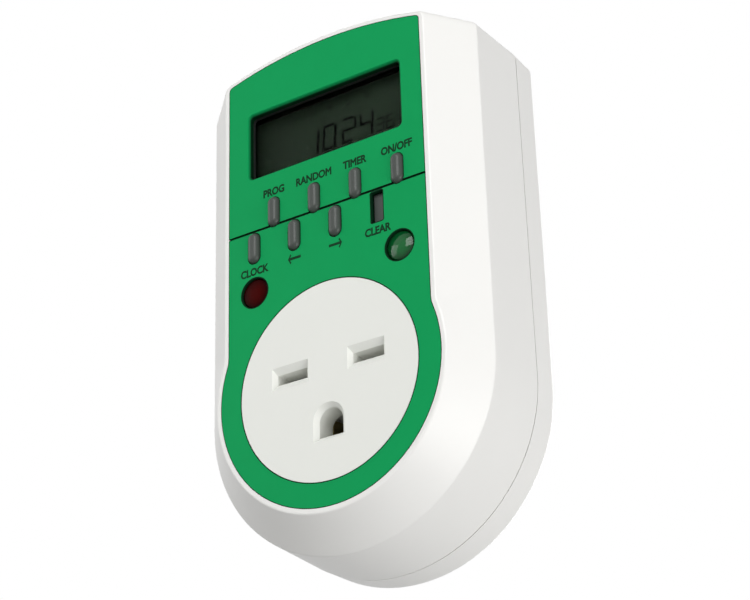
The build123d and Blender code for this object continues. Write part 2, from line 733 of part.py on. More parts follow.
# ---- plug ----
def blade(side):
    """Flat plug blade with a cut-off tip and a hole, and the foot that holds it in the cover,
    with a tab for its wire at the outer end."""
    x = side * SLOT_X
    tip = BODY_DEPTH + BLADE_LENGTH
    length = tip - SEAT_DEPTH
    outline = Pos(tip - length / 2, -x) * Rectangle(length, BLADE_WIDTH)
    outline = chamfer(outline.vertices().group_by(Axis.X)[-1], BLADE_TIP)
    outline -= Pos(BODY_DEPTH + BLADE_HOLE_OUT, -x) * Circle(BLADE_HOLE_R)
    shape = extrude(top_plane(0) * outline, amount=BLADE_THICKNESS / 2, both=True)
    lips = [edge for edge in level_edges(shape, tip) if edge.bounding_box().size.Z < TOUCH]
    shape = chamfer(lips, BLADE_LIP)
    shape += block(x, 0, BLADE_FOOT_LENGTH, BLADE_FOOT_HEIGHT, FOOT_FRONT, SEAT_DEPTH)
    tab_x = side * tab_reach()
    return shape + block(tab_x, TAB_RISE / 2, TAIL_WIDTH, TAB_RISE, FOOT_FRONT, SEAT_DEPTH)


def tab_reach():
    """How far the blades' wire tabs stand from the middle."""
    return SLOT_X + (BLADE_FOOT_LENGTH - TAIL_WIDTH) / 2


def ground_pin():
    """Round earth pin with a rounded tip, a shoulder in the cover and a collar behind its seat."""
    tip = BODY_DEPTH + PIN_LENGTH
    pin = rod(0, -EARTH_DROP, PIN_R, BODY_DEPTH, tip)
    pin = fillet(level_edges(pin, tip), PIN_TIP_FILLET)
    pin += rod(0, -EARTH_DROP, PIN_SHOULDER_R, SEAT_DEPTH, BODY_DEPTH)
    return pin + rod(0, -EARTH_DROP, PIN_COLLAR_R, FOOT_FRONT, SEAT_DEPTH)


# ---- display ----
def lcd_window():
    """Clear pane in the pocket behind the plate's window."""
    width = WINDOW_WIDTH + 2 * PANE_MARGIN
    pane = RectangleRounded(width, WINDOW_HEIGHT + 2 * PANE_MARGIN, PANE_MARGIN / 2)
    return slab(Pos(0, WINDOW_Z) * pane, PLATE_THICKNESS, PLATE_THICKNESS + PANE_THICKNESS)


def cell_size():
    """Width and height of the display's front glass."""
    width = WINDOW_WIDTH + 2 * CELL_MARGIN_X
    height = WINDOW_HEIGHT + 2 * CELL_MARGIN_Z + CELL_LEDGE
    return width, height


def lcd_panel():
    """Two glasses, the front one longer below so that its contacts face the board."""
    width, height = cell_size()
    front = FLOOR_BACK + PANE_GAP
    middle = front + GLASS_THICKNESS
    low = WINDOW_Z - CELL_LEDGE / 2
    panel = block(0, low, width, height, front, middle)
    return panel + block(0, WINDOW_Z, width, height - CELL_LEDGE, middle, middle + GLASS_THICKNESS)


def zebra_strip():
    """Layered rubber strip between the front glass's ledge and the board."""
    width, height = cell_size()
    middle = FLOOR_BACK + PANE_GAP + GLASS_THICKNESS
    z = WINDOW_Z - height / 2
    return block(0, z, width - 2 * CELL_MARGIN_X, ZEBRA_THICKNESS, middle, CONTROL_BOARD_DEPTH)


def lcd_holder():
    """Frame that holds the glasses and the rubber strip, pegged to the board."""
    width, height = cell_size()
    low = WINDOW_Z - CELL_LEDGE / 2
    middle = FLOOR_BACK + PANE_GAP + GLASS_THICKNESS
    outer = (width + 2 * HOLDER_MARGIN, height + 2 * HOLDER_MARGIN)
    frame = block(0, low, outer[0], outer[1], FLOOR_BACK, CONTROL_BOARD_DEPTH)
    frame -= block(0, low, width + 2 * PANE_GAP, height + 2 * PANE_GAP, FLOOR_BACK, middle)
    frame -= block(0, WINDOW_Z, width + 2 * PANE_GAP, height - CELL_LEDGE + 2 * PANE_GAP,
                   middle, middle + GLASS_THICKNESS)
    z = WINDOW_Z - height / 2
    frame -= block(0, z, width - 2 * CELL_MARGIN_X + 2 * FIT_GAP, ZEBRA_THICKNESS + 2 * FIT_GAP,
                   middle, CONTROL_BOARD_DEPTH)
    for x, peg_z in holder_peg_places():
        frame += rod(x, peg_z, HOLDER_PEG_R, CONTROL_BOARD_DEPTH, BOARD_BACK + HOLDER_PEG_R)
    return frame


def holder_peg_places():
    """Where the display's frame is pegged through the board."""
    width, height = cell_size()
    low = WINDOW_Z - CELL_LEDGE / 2
    return [(s * width / 2, low + t * height / 2) for s in (-1, 1) for t in (-1, 1)]


# ---- keys ----
def key_cap(name, x, z):
    """Key with a crowned end and a flange that stops it behind the front wall."""
    top = RESET_SUNK if name == "reset_key" else -KEY_PROUD
    cap = slab(Pos(x, z) * key_outline(name, 0), top, KEY_REST)
    crown = RESET_EDGE if name == "reset_key" else KEY_CROWN
    cap = fillet(level_edges(cap, top), crown)
    flange = key_outline(name, KEY_FLANGE_SIDE)
    return cap + slab(Pos(x, z) * flange, KEY_REST, KEY_FOOT)


def keypad_mat():
    """Rubber sheet with a hollow-backed dome under each key."""
    places = key_places()
    sheet_front = CONTROL_BOARD_DEPTH - MAT_THICKNESS
    left = min(x for _, x, _ in places) - KEY_WIDTH / 2 - MAT_MARGIN
    right = max(x for _, x, _ in places) + KEY_WIDTH / 2 + MAT_MARGIN
    low = LOWER_KEY_Z - KEY_LENGTH / 2 - MAT_MARGIN
    high = UPPER_KEY_Z + KEY_LENGTH / 2 + MAT_MARGIN
    mat = block((left + right) / 2, (low + high) / 2, right - left, high - low,
                sheet_front, CONTROL_BOARD_DEPTH)
    for x, z in control_post_places():
        mat -= rod(x, z, CONTROL_POST_R + SINK_GAP, sheet_front, CONTROL_BOARD_DEPTH)
    for name, x, z in places:
        foot = Pos(x, z) * key_outline(name, DOME_SIDE)
        crest = Pos(x, z) * key_outline(name, -DOME_SIDE / 2)
        mat += taper(crest, foot, KEY_FOOT + MAT_GAP, sheet_front)
        mat -= slab(Pos(x, z) * key_outline(name, 0), sheet_front, CONTROL_BOARD_DEPTH)
    return mat


# ---- lamps ----
def lens(side):
    """Round lens with a bore for the lamp behind it and a flange behind the front wall."""
    x = side * LAMP_X
    body = rod(x, LAMP_Z, LENS_R, LENS_SUNK, FLOOR_BACK)
    body = fillet(level_edges(body, LENS_SUNK), LENS_SUNK)
    body += rod(x, LAMP_Z, LENS_R + LENS_FLANGE, FLOOR_BACK, FLOOR_BACK + LENS_FLANGE_THICKNESS)
    return body - rod(x, LAMP_Z, LED_R + LED_BORE_GAP, LED_TOP_DEPTH - LED_BORE_GAP,
                      FLOOR_BACK + LENS_FLANGE_THICKNESS)


def led(side):
    """Round lamp standing on the control board."""
    x = side * LAMP_X
    base = CONTROL_BOARD_DEPTH - LED_BASE
    body = rod(x, LAMP_Z, LED_R, LED_TOP_DEPTH, base)
    body = fillet(level_edges(body, LED_TOP_DEPTH), LED_DOME)
    return body + rod(x, LAMP_Z, LED_BASE_R, base, CONTROL_BOARD_DEPTH)


# ---- boards and their parts ----
def control_board():
    """Board behind the keys and the display, cut round the socket."""
    half = CONTROL_BOARD_HALF_WIDTH
    height = CONTROL_BOARD_HIGH - CONTROL_BOARD_LOW
    shape = Pos(0, CONTROL_BOARD_LOW + height / 2) * RectangleRounded(2 * half, height, BOARD_CORNER_R)
    shape -= Pos(0, DISC_Z) * Circle(FLANGE_R + SOCKET_CLEARANCE)
    board = slab(shape, CONTROL_BOARD_DEPTH, BOARD_BACK)
    for x, z in control_post_places():
        board -= rod(x, z, SMALL_SCREW_R + SINK_GAP, CONTROL_BOARD_DEPTH, BOARD_BACK)
    for x, z in holder_peg_places():
        board -= rod(x, z, HOLDER_PEG_R + PANE_GAP, CONTROL_BOARD_DEPTH, BOARD_BACK)
    return board


def power_board():
    """Board on the rear cover's posts, with the parts that carry the mains."""
    height = POWER_BOARD_HIGH - POWER_BOARD_LOW
    shape = Pos(0, POWER_BOARD_LOW + height / 2) * RectangleRounded(
        2 * POWER_BOARD_HALF_WIDTH, height, BOARD_CORNER_R)
    board = slab(shape, POWER_BOARD_DEPTH, POWER_BOARD_DEPTH + POWER_BOARD_THICKNESS)
    for x, z in power_post_places():
        board -= rod(x, z, SMALL_SCREW_R + SINK_GAP, POWER_BOARD_DEPTH,
                     POWER_BOARD_DEPTH + POWER_BOARD_THICKNESS)
    return board


def clock_chip():
    """Flat chip on the control board's back."""
    chip = block(CHIP_X, CHIP_Z, CHIP_SIZE, CHIP_SIZE, BOARD_BACK, BOARD_BACK + CHIP_HEIGHT)
    return chamfer(level_edges(chip, BOARD_BACK + CHIP_HEIGHT), CHIP_HEIGHT / 4)


def lying_rod(x, depth, z, radius, length):
    """Round rod along X, centred on a point."""
    plane = Plane(origin=at(x - length / 2, depth, z), x_dir=(0, 1, 0), z_dir=(1, 0, 0))
    return extrude(plane * Circle(radius), amount=length)


def clock_crystal():
    """Small crystal in a round can lying on the control board."""
    depth = BOARD_BACK + CRYSTAL_R
    can = lying_rod(CRYSTAL_X, depth, CRYSTAL_Z, CRYSTAL_R, CRYSTAL_LENGTH)
    foot = block(CRYSTAL_X, CRYSTAL_Z, CRYSTAL_LENGTH / 2, CRYSTAL_R, BOARD_BACK, depth)
    return can + foot


def backup_cell():
    """Button cell that keeps the clock running."""
    cell = rod(CELL_X, CELL_Z, CELL_R, BOARD_BACK, BOARD_BACK + CELL_HEIGHT)
    return fillet(level_edges(cell, BOARD_BACK + CELL_HEIGHT), CELL_EDGE)


def boxed_part(x, z, width, length, clearance, edge):
    """Potted block that stands on the power board and clears the control board."""
    front = BOARD_BACK + clearance
    shape = block(x, z, width, length, front, POWER_BOARD_DEPTH)
    shape = fillet(shape.edges().filter_by(Axis.Y), edge)
    return fillet(level_edges(shape, front), edge / 2)


def smoothing_capacitor():
    """Round can on the power board with a bead pressed in near its foot."""
    front = BOARD_BACK + ELECTROLYTIC_CLEARANCE
    can = rod(ELECTROLYTIC_X, ELECTROLYTIC_Z, ELECTROLYTIC_R, front, POWER_BOARD_DEPTH)
    can = fillet(level_edges(can, front), ELECTROLYTIC_BEAD)
    waist = POWER_BOARD_DEPTH - ELECTROLYTIC_BEAD * 4
    ring = Circle(ELECTROLYTIC_R) - Circle(ELECTROLYTIC_R - ELECTROLYTIC_BEAD)
    return can - slab(Pos(ELECTROLYTIC_X, ELECTROLYTIC_Z) * ring, waist, waist + ELECTROLYTIC_BEAD)


def varistor():
    """Coated disc standing on two legs."""
    depth = POWER_BOARD_DEPTH - VARISTOR_LEAD - VARISTOR_R
    plane = Plane(origin=at(VARISTOR_X, depth, VARISTOR_Z), x_dir=(1, 0, 0), z_dir=(0, 0, 1))
    disc = extrude(plane * Circle(VARISTOR_R), amount=VARISTOR_THICKNESS / 2, both=True)
    disc = fillet(disc.edges(), VARISTOR_ROUND)
    for side in (-1, 1):
        disc += rod(VARISTOR_X + side * VARISTOR_R / 2, VARISTOR_Z, LEAD_R, depth, POWER_BOARD_DEPTH)
    return disc


def axial_part(x, z, radius, length, span):
    """Part with a lead out of each end, bent down into the power board."""
    depth = POWER_BOARD_DEPTH - radius - AXIAL_LIFT
    shape = lying_rod(x, depth, z, radius, length) + lying_rod(x, depth, z, LEAD_R, span)
    for side in (-1, 1):
        shape += rod(x + side * (span / 2 - LEAD_R), z, LEAD_R, depth - LEAD_R, POWER_BOARD_DEPTH)
    return shape


def rectifier_diodes():
    """Row of diodes that feed the relay and the clock."""
    rows = [DIODE_Z - i * DIODE_PITCH for i in range(DIODE_COUNT)]
    return [axial_part(DIODE_X, z, DIODE_R, DIODE_LENGTH, DIODE_SPAN) for z in rows]


def board_link():
    """Flat cable from the control board's back to the power board's front."""
    front = BOARD_BACK + LINK_THICKNESS / 2
    back = POWER_BOARD_DEPTH - LINK_THICKNESS / 2
    middle = (front + back) / 2
    points = [(front, LINK_FRONT_Z), (middle - LINK_BEND_R, LINK_FRONT_Z),
              (middle + LINK_BEND_R, LINK_BACK_Z), (back, LINK_BACK_Z)]
    return bent_strip(points, LINK_THICKNESS, LINK_WIDTH, side_plane(LINK_X), LINK_BEND_R)


def lead(x, depth, x_end):
    """Insulated wire from a tab's end up to the front of the power board."""
    lane = POWER_BOARD_DEPTH - WIRE_LIFT
    path = FilletPolyline(
        at(x, depth, TAB_RISE),
        at(x, depth, WIRE_TURN_Z),
        at(x_end, lane, WIRE_LANE_Z),
        at(x_end, lane, WIRE_END_Z),
        at(x_end, POWER_BOARD_DEPTH, WIRE_END_Z),
        radius=WIRE_BEND_R,
    )
    start = Plane(origin=path @ 0, z_dir=path % 0)
    return sweep(start * Circle(WIRE_R), path=path)


# ---- screws ----
def housing_screws():
    """Four screws that hold the rear cover to the front housing."""
    return [screw(x, z, SCREW_R, SCREW_HEAD_R, SCREW_HEAD_HEIGHT, SCREW_SEAT, SCREW_LENGTH, 1)
            for x, z, _ in body_screw_places()]


def small_screws(places, seat, length, facing):
    """Small pan-head screws at several places."""
    return [screw(x, z, SMALL_SCREW_R, SMALL_HEAD_R, SMALL_HEAD_HEIGHT, seat, length, facing)
            for x, z in places]


def assembly():
    """Every node's name with its solid, or a list of solids for identical pieces."""
    foot_middle = (FOOT_FRONT + SEAT_DEPTH) / 2
    contact_tab = CARRIER_BACK + TAB_CLEARANCE + TAIL_THICKNESS / 2
    nodes = {
        "front_housing": front_housing(),
        "rear_cover": rear_cover(),
        "face_plate": face_plate(),
        "socket_face": socket_face(),
        "line_contact_left": line_contact(-1),
        "line_contact_right": line_contact(1),
        "ground_contact": ground_contact(),
        "contact_carrier": contact_carrier(),
        "line_blade_left": blade(-1),
        "line_blade_right": blade(1),
        "ground_pin": ground_pin(),
        "lcd_window": lcd_window(),
        "lcd_panel": lcd_panel(),
        "zebra_strip": zebra_strip(),
        "lcd_holder": lcd_holder(),
        "keypad_mat": keypad_mat(),
        "red_lens": lens(-1),
        "green_lens": lens(1),
        "red_led": led(-1),
        "green_led": led(1),
        "control_board": control_board(),
        "clock_chip": clock_chip(),
        "clock_crystal": clock_crystal(),
        "backup_cell": backup_cell(),
        "power_board": power_board(),
        "relay": boxed_part(RELAY_X, RELAY_Z, RELAY_WIDTH, RELAY_LENGTH, RELAY_CLEARANCE, BOX_EDGE),
        "film_capacitor": boxed_part(FILM_X, FILM_Z, FILM_WIDTH, FILM_LENGTH, FILM_CLEARANCE, BOX_EDGE),
        "smoothing_capacitor": smoothing_capacitor(),
        "varistor": varistor(),
        "fuse": axial_part(FUSE_X, FUSE_Z, FUSE_R, FUSE_LENGTH, FUSE_SPAN),
        "rectifier_diodes": rectifier_diodes(),
        "dropper_resistor": axial_part(RESISTOR_X, RESISTOR_Z, RESISTOR_R, RESISTOR_LENGTH, RESISTOR_SPAN),
        "board_link": board_link(),
        "feed_lead": lead(tab_reach(), foot_middle, FEED_END_X),
        "switched_lead": lead(SLOT_X, contact_tab, SWITCHED_END_X),
        "return_lead": lead(-tab_reach(), foot_middle, RETURN_END_X),
        "housing_screws": housing_screws(),
        "control_board_screws": small_screws(control_post_places(), BOARD_BACK, CONTROL_SCREW_LENGTH, 1),
        "power_board_screws": small_screws(power_post_places(), POWER_BOARD_DEPTH, POWER_SCREW_LENGTH, -1),
        "carrier_screws": small_screws(carrier_post_places(), CARRIER_BACK, CARRIER_SCREW_LENGTH, 1),
    }
    for name, x, z in key_places():
        nodes[name] = key_cap(name, x, z)
    return nodes


os.makedirs("parts", exist_ok=True)
for node, shape in assembly().items():
    pieces = shape if isinstance(shape, list) else [shape]
    solids = [solid for piece in pieces for solid in piece.solids()]
    export_step(Compound(children=solids), f"parts/{node}.step")
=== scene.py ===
"""Finishes and fine pieces of a plug-in timer switch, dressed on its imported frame."""
import json
import logging
import math
from dataclasses import dataclass, field, replace
from enum import Enum
from typing import Callable, Dict, List, Optional, Sequence, Tuple, Union

import bmesh
import bpy
from mathutils import Matrix, Vector

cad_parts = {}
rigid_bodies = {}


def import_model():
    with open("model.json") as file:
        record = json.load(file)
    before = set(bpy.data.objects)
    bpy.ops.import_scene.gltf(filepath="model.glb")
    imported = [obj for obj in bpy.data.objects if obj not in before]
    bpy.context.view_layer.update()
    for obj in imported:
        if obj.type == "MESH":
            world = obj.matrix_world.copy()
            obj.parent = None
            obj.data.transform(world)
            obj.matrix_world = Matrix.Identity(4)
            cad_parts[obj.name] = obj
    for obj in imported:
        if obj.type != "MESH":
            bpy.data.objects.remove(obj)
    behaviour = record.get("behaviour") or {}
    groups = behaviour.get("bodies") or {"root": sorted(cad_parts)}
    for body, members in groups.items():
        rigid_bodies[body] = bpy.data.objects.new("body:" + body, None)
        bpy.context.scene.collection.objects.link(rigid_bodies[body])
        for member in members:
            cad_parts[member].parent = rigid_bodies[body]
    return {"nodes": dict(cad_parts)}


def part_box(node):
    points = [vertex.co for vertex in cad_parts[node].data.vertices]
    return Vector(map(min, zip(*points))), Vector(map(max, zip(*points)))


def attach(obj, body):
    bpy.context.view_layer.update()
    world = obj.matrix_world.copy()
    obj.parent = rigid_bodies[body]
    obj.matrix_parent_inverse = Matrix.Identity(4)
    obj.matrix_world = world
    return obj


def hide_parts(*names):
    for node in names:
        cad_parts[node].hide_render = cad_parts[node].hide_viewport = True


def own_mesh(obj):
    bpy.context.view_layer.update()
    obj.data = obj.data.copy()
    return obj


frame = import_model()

LOG = logging.getLogger("timer")
MM = 0.001
CASE = "case"
WELD, LEVEL = 1e-6, 1e-5  # metres within which corners are one, and faces level
INK_THICKNESS, PROUD = 0.02, 0.01  # millimetres
PALEST = 0.98
MAIN_SHARE = 0.7
MIX_LOW, MIX_HIGH, MIX_BLEND = 6, 7, 2  # a Mix node's sockets for colours
FACING_FRONT = Matrix.Rotation(math.pi / 2, 4, "X")
Colour = Tuple[float, float, float]
Triple = Tuple[float, float, float]
Range = Tuple[float, float]


def srgb(red: int, green: int, blue: int) -> Colour:
    """Linear colour from its screen values.

    Args:
        red: Screen value from 0 to 255.
        green: Screen value from 0 to 255.
        blue: Screen value from 0 to 255.

    Returns:
        The colour as shaders take it.
    """
    def linear(level: int) -> float:
        """Linear share of one screen value, by the standard curve."""
        share = level / 255
        return share / 12.92 if share <= 0.04045 else ((share + 0.055) / 1.055) ** 2.4
    return linear(red), linear(green), linear(blue)


def lighter(colour: Colour, factor: float) -> Colour:
    """Colour scaled in brightness and kept below white."""
    return tuple(min(channel * factor, PALEST) for channel in colour)


# ---------------------------------------------------------------------------- node trees
def operator(operation: str, reflected: bool = False) -> Callable[["Value", "Operand"], "Value"]:
    """Makes the method that stands for one of Python's operators.

    Args:
        operation: What its Math node does.
        reflected: Whether the value stands second.

    Returns:
        The method.
    """
    def method(value: "Value", other: "Operand") -> "Value":
        """Result of the operation on a value and a number or another value."""
        return value.graph.maths(operation, *((other, value) if reflected else (value, other)))
    return method


class Value:
    """Result of a node, with Python's operators for its maths."""

    __add__ = __radd__ = operator("ADD")
    __sub__, __rsub__ = operator("SUBTRACT"), operator("SUBTRACT", reflected=True)
    __mul__ = __rmul__ = operator("MULTIPLY")
    __truediv__, __rtruediv__ = operator("DIVIDE"), operator("DIVIDE", reflected=True)
    __gt__, __lt__ = operator("GREATER_THAN"), operator("LESS_THAN")

    def __init__(self, graph: "Graph", socket: bpy.types.NodeSocket) -> None:
        """Wraps one output socket of a graph's node."""
        self.graph = graph
        self.socket = socket


Operand = Union[Value, float]
Inputs = Dict[Union[str, int], object]


class Graph:
    """Node tree under construction."""

    def __init__(self, tree: bpy.types.NodeTree) -> None:
        """Takes up a node tree, to add to it."""
        self.tree = tree

    def node(self, kind: str, inputs: Inputs, **settings: object) -> bpy.types.Node:
        """Adds a node.

        Args:
            kind: The node's type.
            inputs: Values, or links as Value, by socket name or index.
            **settings: Properties that are set before the sockets.

        Returns:
            The new node.
        """
        made = self.tree.nodes.new(kind)
        for key, setting in settings.items():
            setattr(made, key, setting)
        for key, entry in inputs.items():
            self.feed(made.inputs[key], entry)
        return made

    def value(self, kind: str, output: Union[str, int], inputs: Inputs, **settings: object) -> Value:
        """Adds a node for one of its results.

        Args:
            kind: The node's type.
            output: Name or index of the result's socket.
            inputs: Values, or links as Value, by socket name or index.
            **settings: Properties that are set before the sockets.

        Returns:
            The result.
        """
        return Value(self, self.node(kind, inputs, **settings).outputs[output])

    def feed(self, socket: bpy.types.NodeSocket, entry: object) -> None:
        """Links a result to a socket, or sets a constant on it.

        Args:
            socket: The input socket.
            entry: The result, or the constant.
        """
        if isinstance(entry, Value):
            self.tree.links.new(entry.socket, socket)
        elif socket.type == "RGBA":
            socket.default_value = (*entry, 1.0)
        else:
            socket.default_value = entry

    def maths(self, operation: str, first: Operand, second: Operand) -> Value:
        """Result of a Math node on two operands."""
        return self.value("ShaderNodeMath", 0, {0: first, 1: second}, operation=operation)

    def ray(self, *kinds: str) -> Value:
        """One for rays of the given kinds, and zero for others.

        Args:
            *kinds: Names of the Light Path node's results.

        Returns:
            The mask.
        """
        path = self.node("ShaderNodeLightPath", {})
        seen = Value(self, path.outputs[kinds[0]])
        for kind in kinds[1:]:
            seen = self.maths("MAXIMUM", seen, Value(self, path.outputs[kind]))
        return seen


class Detail(Enum):
    """How much fine detail a noise has."""

    SMOOTH = 1.0
    SOFT = 2.0
    CLOUDY = 3.0
    BUSY = 4.0


class Feature(Enum):
    """What a pattern of cells measures its distance to."""

    CENTRES = "F1"
    BORDERS = "DISTANCE_TO_EDGE"


class Shade(Graph):
    """Material under construction: a Principled surface and the nodes that feed it."""

    def __init__(self, name: str) -> None:
        """Starts an empty material with one Principled surface.

        Args:
            name: The material's name.
        """
        self.material = bpy.data.materials.new(name)
        self.material.use_nodes = True
        super().__init__(self.material.node_tree)
        self.tree.nodes.clear()
        self.surface = self.node("ShaderNodeBsdfPrincipled", {})
        self.output = self.node("ShaderNodeOutputMaterial", {
            "Surface": Value(self, self.surface.outputs["BSDF"]),
        })

    def place(self, stretch: Triple = (1, 1, 1)) -> Value:
        """Place on the object in metres.

        Args:
            stretch: Factors along X, Y and Z.

        Returns:
            The stretched place.
        """
        source = self.value("ShaderNodeTexCoord", "Object", {})
        return self.value("ShaderNodeMapping", "Vector", {"Vector": source, "Scale": stretch})

    def axis(self, name: str) -> Value:
        """One coordinate of the place on the object, in metres."""
        return self.value("ShaderNodeSeparateXYZ", name, {"Vector": self.place()})

    def noise(self, size: float, detail: Detail = Detail.SOFT, stretch: Triple = (1, 1, 1)) -> Value:
        """Soft noise.

        Args:
            size: Size of its features in millimetres.
            detail: How much fine detail it has.
            stretch: Factors by which it is finer along X, Y and Z.

        Returns:
            The noise, from 0 to 1.
        """
        return self.value("ShaderNodeTexNoise", "Fac", {
            "Vector": self.place(stretch), "Scale": 1 / (size * MM), "Detail": detail.value,
        })

    def cells(self, size: float, feature: Feature = Feature.CENTRES) -> Value:
        """Pattern of cells.

        Args:
            size: Size of the cells in millimetres.
            feature: What the distance is measured to.

        Returns:
            The distance, as a share of a cell.
        """
        return self.value("ShaderNodeTexVoronoi", "Distance", {
            "Vector": self.place(), "Scale": 1 / (size * MM),
        }, feature=feature.value)

    def clamped(self, value: Value) -> Value:
        """Value kept between 0 and 1."""
        return self.maths("MAXIMUM", self.maths("MINIMUM", value, 1.0), 0.0)

    def blend(self, share: Operand, low: object, high: object) -> Value:
        """Colour between two colours.

        Args:
            share: 0 for the first colour and 1 for the second.
            low: The first colour.
            high: The second colour.

        Returns:
            The colour between them.
        """
        inputs = {0: share, MIX_LOW: low, MIX_HIGH: high}
        return self.value("ShaderNodeMix", MIX_BLEND, inputs, data_type="RGBA")

    def tones(self, share: Operand, colour: Colour, factors: Range) -> Value:
        """Colour that runs from a darker to a lighter form of itself.

        Args:
            share: 0 for the darker form and 1 for the lighter.
            colour: The colour.
            factors: How bright the two forms are beside it.

        Returns:
            The colour over the surface.
        """
        return self.blend(share, *(lighter(colour, factor) for factor in factors))

    def relief(self, height: Value, depth: float) -> Value:
        """Bumpy normal.

        Args:
            height: Height of the surface, as a share of the depth.
            depth: The depth in millimetres.

        Returns:
            The normal.
        """
        return self.value("ShaderNodeBump", "Normal", {
            "Strength": 1.0, "Distance": depth * MM, "Height": height,
        })

    def finish(self, **sockets: object) -> None:
        """Feeds the surface's sockets.

        Args:
            **sockets: Values by socket name, with underscores for its spaces.
        """
        for key, entry in sockets.items():
            self.feed(self.surface.inputs[key.replace("_", " ")], entry)


def mostly(first: Value, second: Value) -> Value:
    """Mix of two patterns in which the first counts for more."""
    return first * MAIN_SHARE + second * (1 - MAIN_SHARE)


def around(share: Value, middle: float, span: float) -> Value:
    """Number that swings about its middle as a share goes from 0 to 1."""
    return share * span + (middle - span / 2)


# ---------------------------------------------------------------------------- finishes
_MADE: Dict[str, bpy.types.Material] = {}


@dataclass(frozen=True)
class Finish:
    """Finish of a surface, in its main colour.

    Sizes are in millimetres, here and in the finishes below where they don't say otherwise."""

    name: str
    colour: Colour

    def paint(self, shade: Shade) -> None:
        """Feeds the surface of a new material.

        Args:
            shade: The material under construction.
        """
        raise NotImplementedError

    def material(self) -> bpy.types.Material:
        """Makes the finish's material, once.

        Returns:
            The material.
        """
        if self.name not in _MADE:
            shade = Shade(self.name)
            self.paint(shade)
            _MADE[self.name] = shade.material
        return _MADE[self.name]


@dataclass(frozen=True)
class Moulding(Finish):
    """Injection-moulded plastic: fine spark-eroded grain, flow mottling and handling marks."""

    roughness: float = 0.38
    sheen: float = 0.12
    grain: float = 0.28
    grain_depth: float = 0.006
    speck_grains: float = 2.5
    cell_grains: float = 1.4
    mottle: float = 0.03
    wave: float = 9.0
    mark_waves: float = 2.2
    specular: float = 0.45

    def tone(self, shade: Shade) -> Value:
        """Mottled colour.

        Args:
            shade: The material under construction.

        Returns:
            The colour over the surface.
        """
        flow = shade.noise(self.wave, Detail.CLOUDY)
        speck = shade.noise(self.grain * self.speck_grains, Detail.SMOOTH)
        return shade.tones(mostly(flow, speck), self.colour, (1 - self.mottle, 1 + self.mottle))

    def paint(self, shade: Shade) -> None:
        """Feeds the surface of a new material.

        Args:
            shade: The material under construction.
        """
        marks = shade.noise(self.wave * self.mark_waves, Detail.BUSY)
        grain = mostly(shade.noise(self.grain), shade.cells(self.grain * self.cell_grains))
        shade.finish(
            Base_Color=self.tone(shade),
            Roughness=around(marks, self.roughness, self.sheen),
            Normal=shade.relief(grain, self.grain_depth),
            Specular_IOR_Level=self.specular,
        )


@dataclass(frozen=True)
class PlateMoulding(Moulding):
    """Moulding with painted shade: its openings and groove darken where they go deeper, standing in for
    the shadow in them.

    Its front is in metres."""

    recess_shade: Colour = (0.0, 0.0, 0.0)
    front: float = 0.0
    fade: float = 0.55

    def tone(self, shade: Shade) -> Value:
        """Mottled colour with painted shade that darkens it behind the front.

        Args:
            shade: The material under construction.

        Returns:
            The colour over the surface.
        """
        # painted shade: the colour runs to recess_shade over the fade behind the front
        recess_shade_share = shade.clamped((shade.axis("Y") - self.front) / (self.fade * MM))
        return shade.blend(recess_shade_share, super().tone(shade), self.recess_shade)


@dataclass(frozen=True)
class DyedLens(Finish):
    """Clear plastic dyed through, with a crowned face and faint flow lines; its colour carries painted
    shade round the rim and painted light in the middle.

    Its middle is in metres."""

    clearness: float
    specular: float = 0.5
    roughness: float = 0.08
    sheen: float = 0.05
    index: float = 1.4
    middle: Tuple[float, float] = (0.0, 0.0)
    radius: float = 3.3
    crown: float = 0.0
    # rim and middle_light scale the colour at the rim and in the middle: painted shade round the rim,
    # painted light in the middle
    rim: float = 0.86
    middle_light: float = 1.14
    falloff: float = 1.1
    swirl: float = 0.3
    flow: float = 1.6
    flow_depth: float = 0.01

    def paint(self, shade: Shade) -> None:
        """Feeds the surface of a new material.

        Args:
            shade: The material under construction.
        """
        flow = shade.noise(self.flow)
        across = (shade.axis("X") - self.middle[0]) / (self.radius * MM)
        along = (shade.axis("Z") - self.middle[1]) / (self.radius * MM)
        dome = 1 - (across * across + along * along)
        # painted light towards the middle and painted shade towards the rim
        lit_share = shade.clamped(dome * self.falloff + around(flow, 0.0, self.swirl))
        shade.finish(
            Base_Color=shade.tones(lit_share, self.colour, (self.rim, self.middle_light)),
            Roughness=flow * self.sheen + self.roughness,
            Normal=shade.relief(dome * self.crown + flow * self.flow_depth, 1.0),
            Transmission_Weight=self.clearness,
            IOR=self.index,
            Specular_IOR_Level=self.specular,
        )


@dataclass(frozen=True)
class ClearPane(Finish):
    """Thin clear pane with faint handling haze."""

    tint: Range = (0.97, 1.02)
    smear: float = 7.0
    haze: float = 0.02
    index: float = 1.05

    def paint(self, shade: Shade) -> None:
        """Feeds the surface of a new material.

        Args:
            shade: The material under construction.
        """
        smear = shade.noise(self.smear, Detail.CLOUDY)
        shade.finish(
            Base_Color=shade.tones(smear, self.colour, self.tint),
            Roughness=smear * self.haze,
            Transmission_Weight=1.0,
            IOR=self.index,
        )


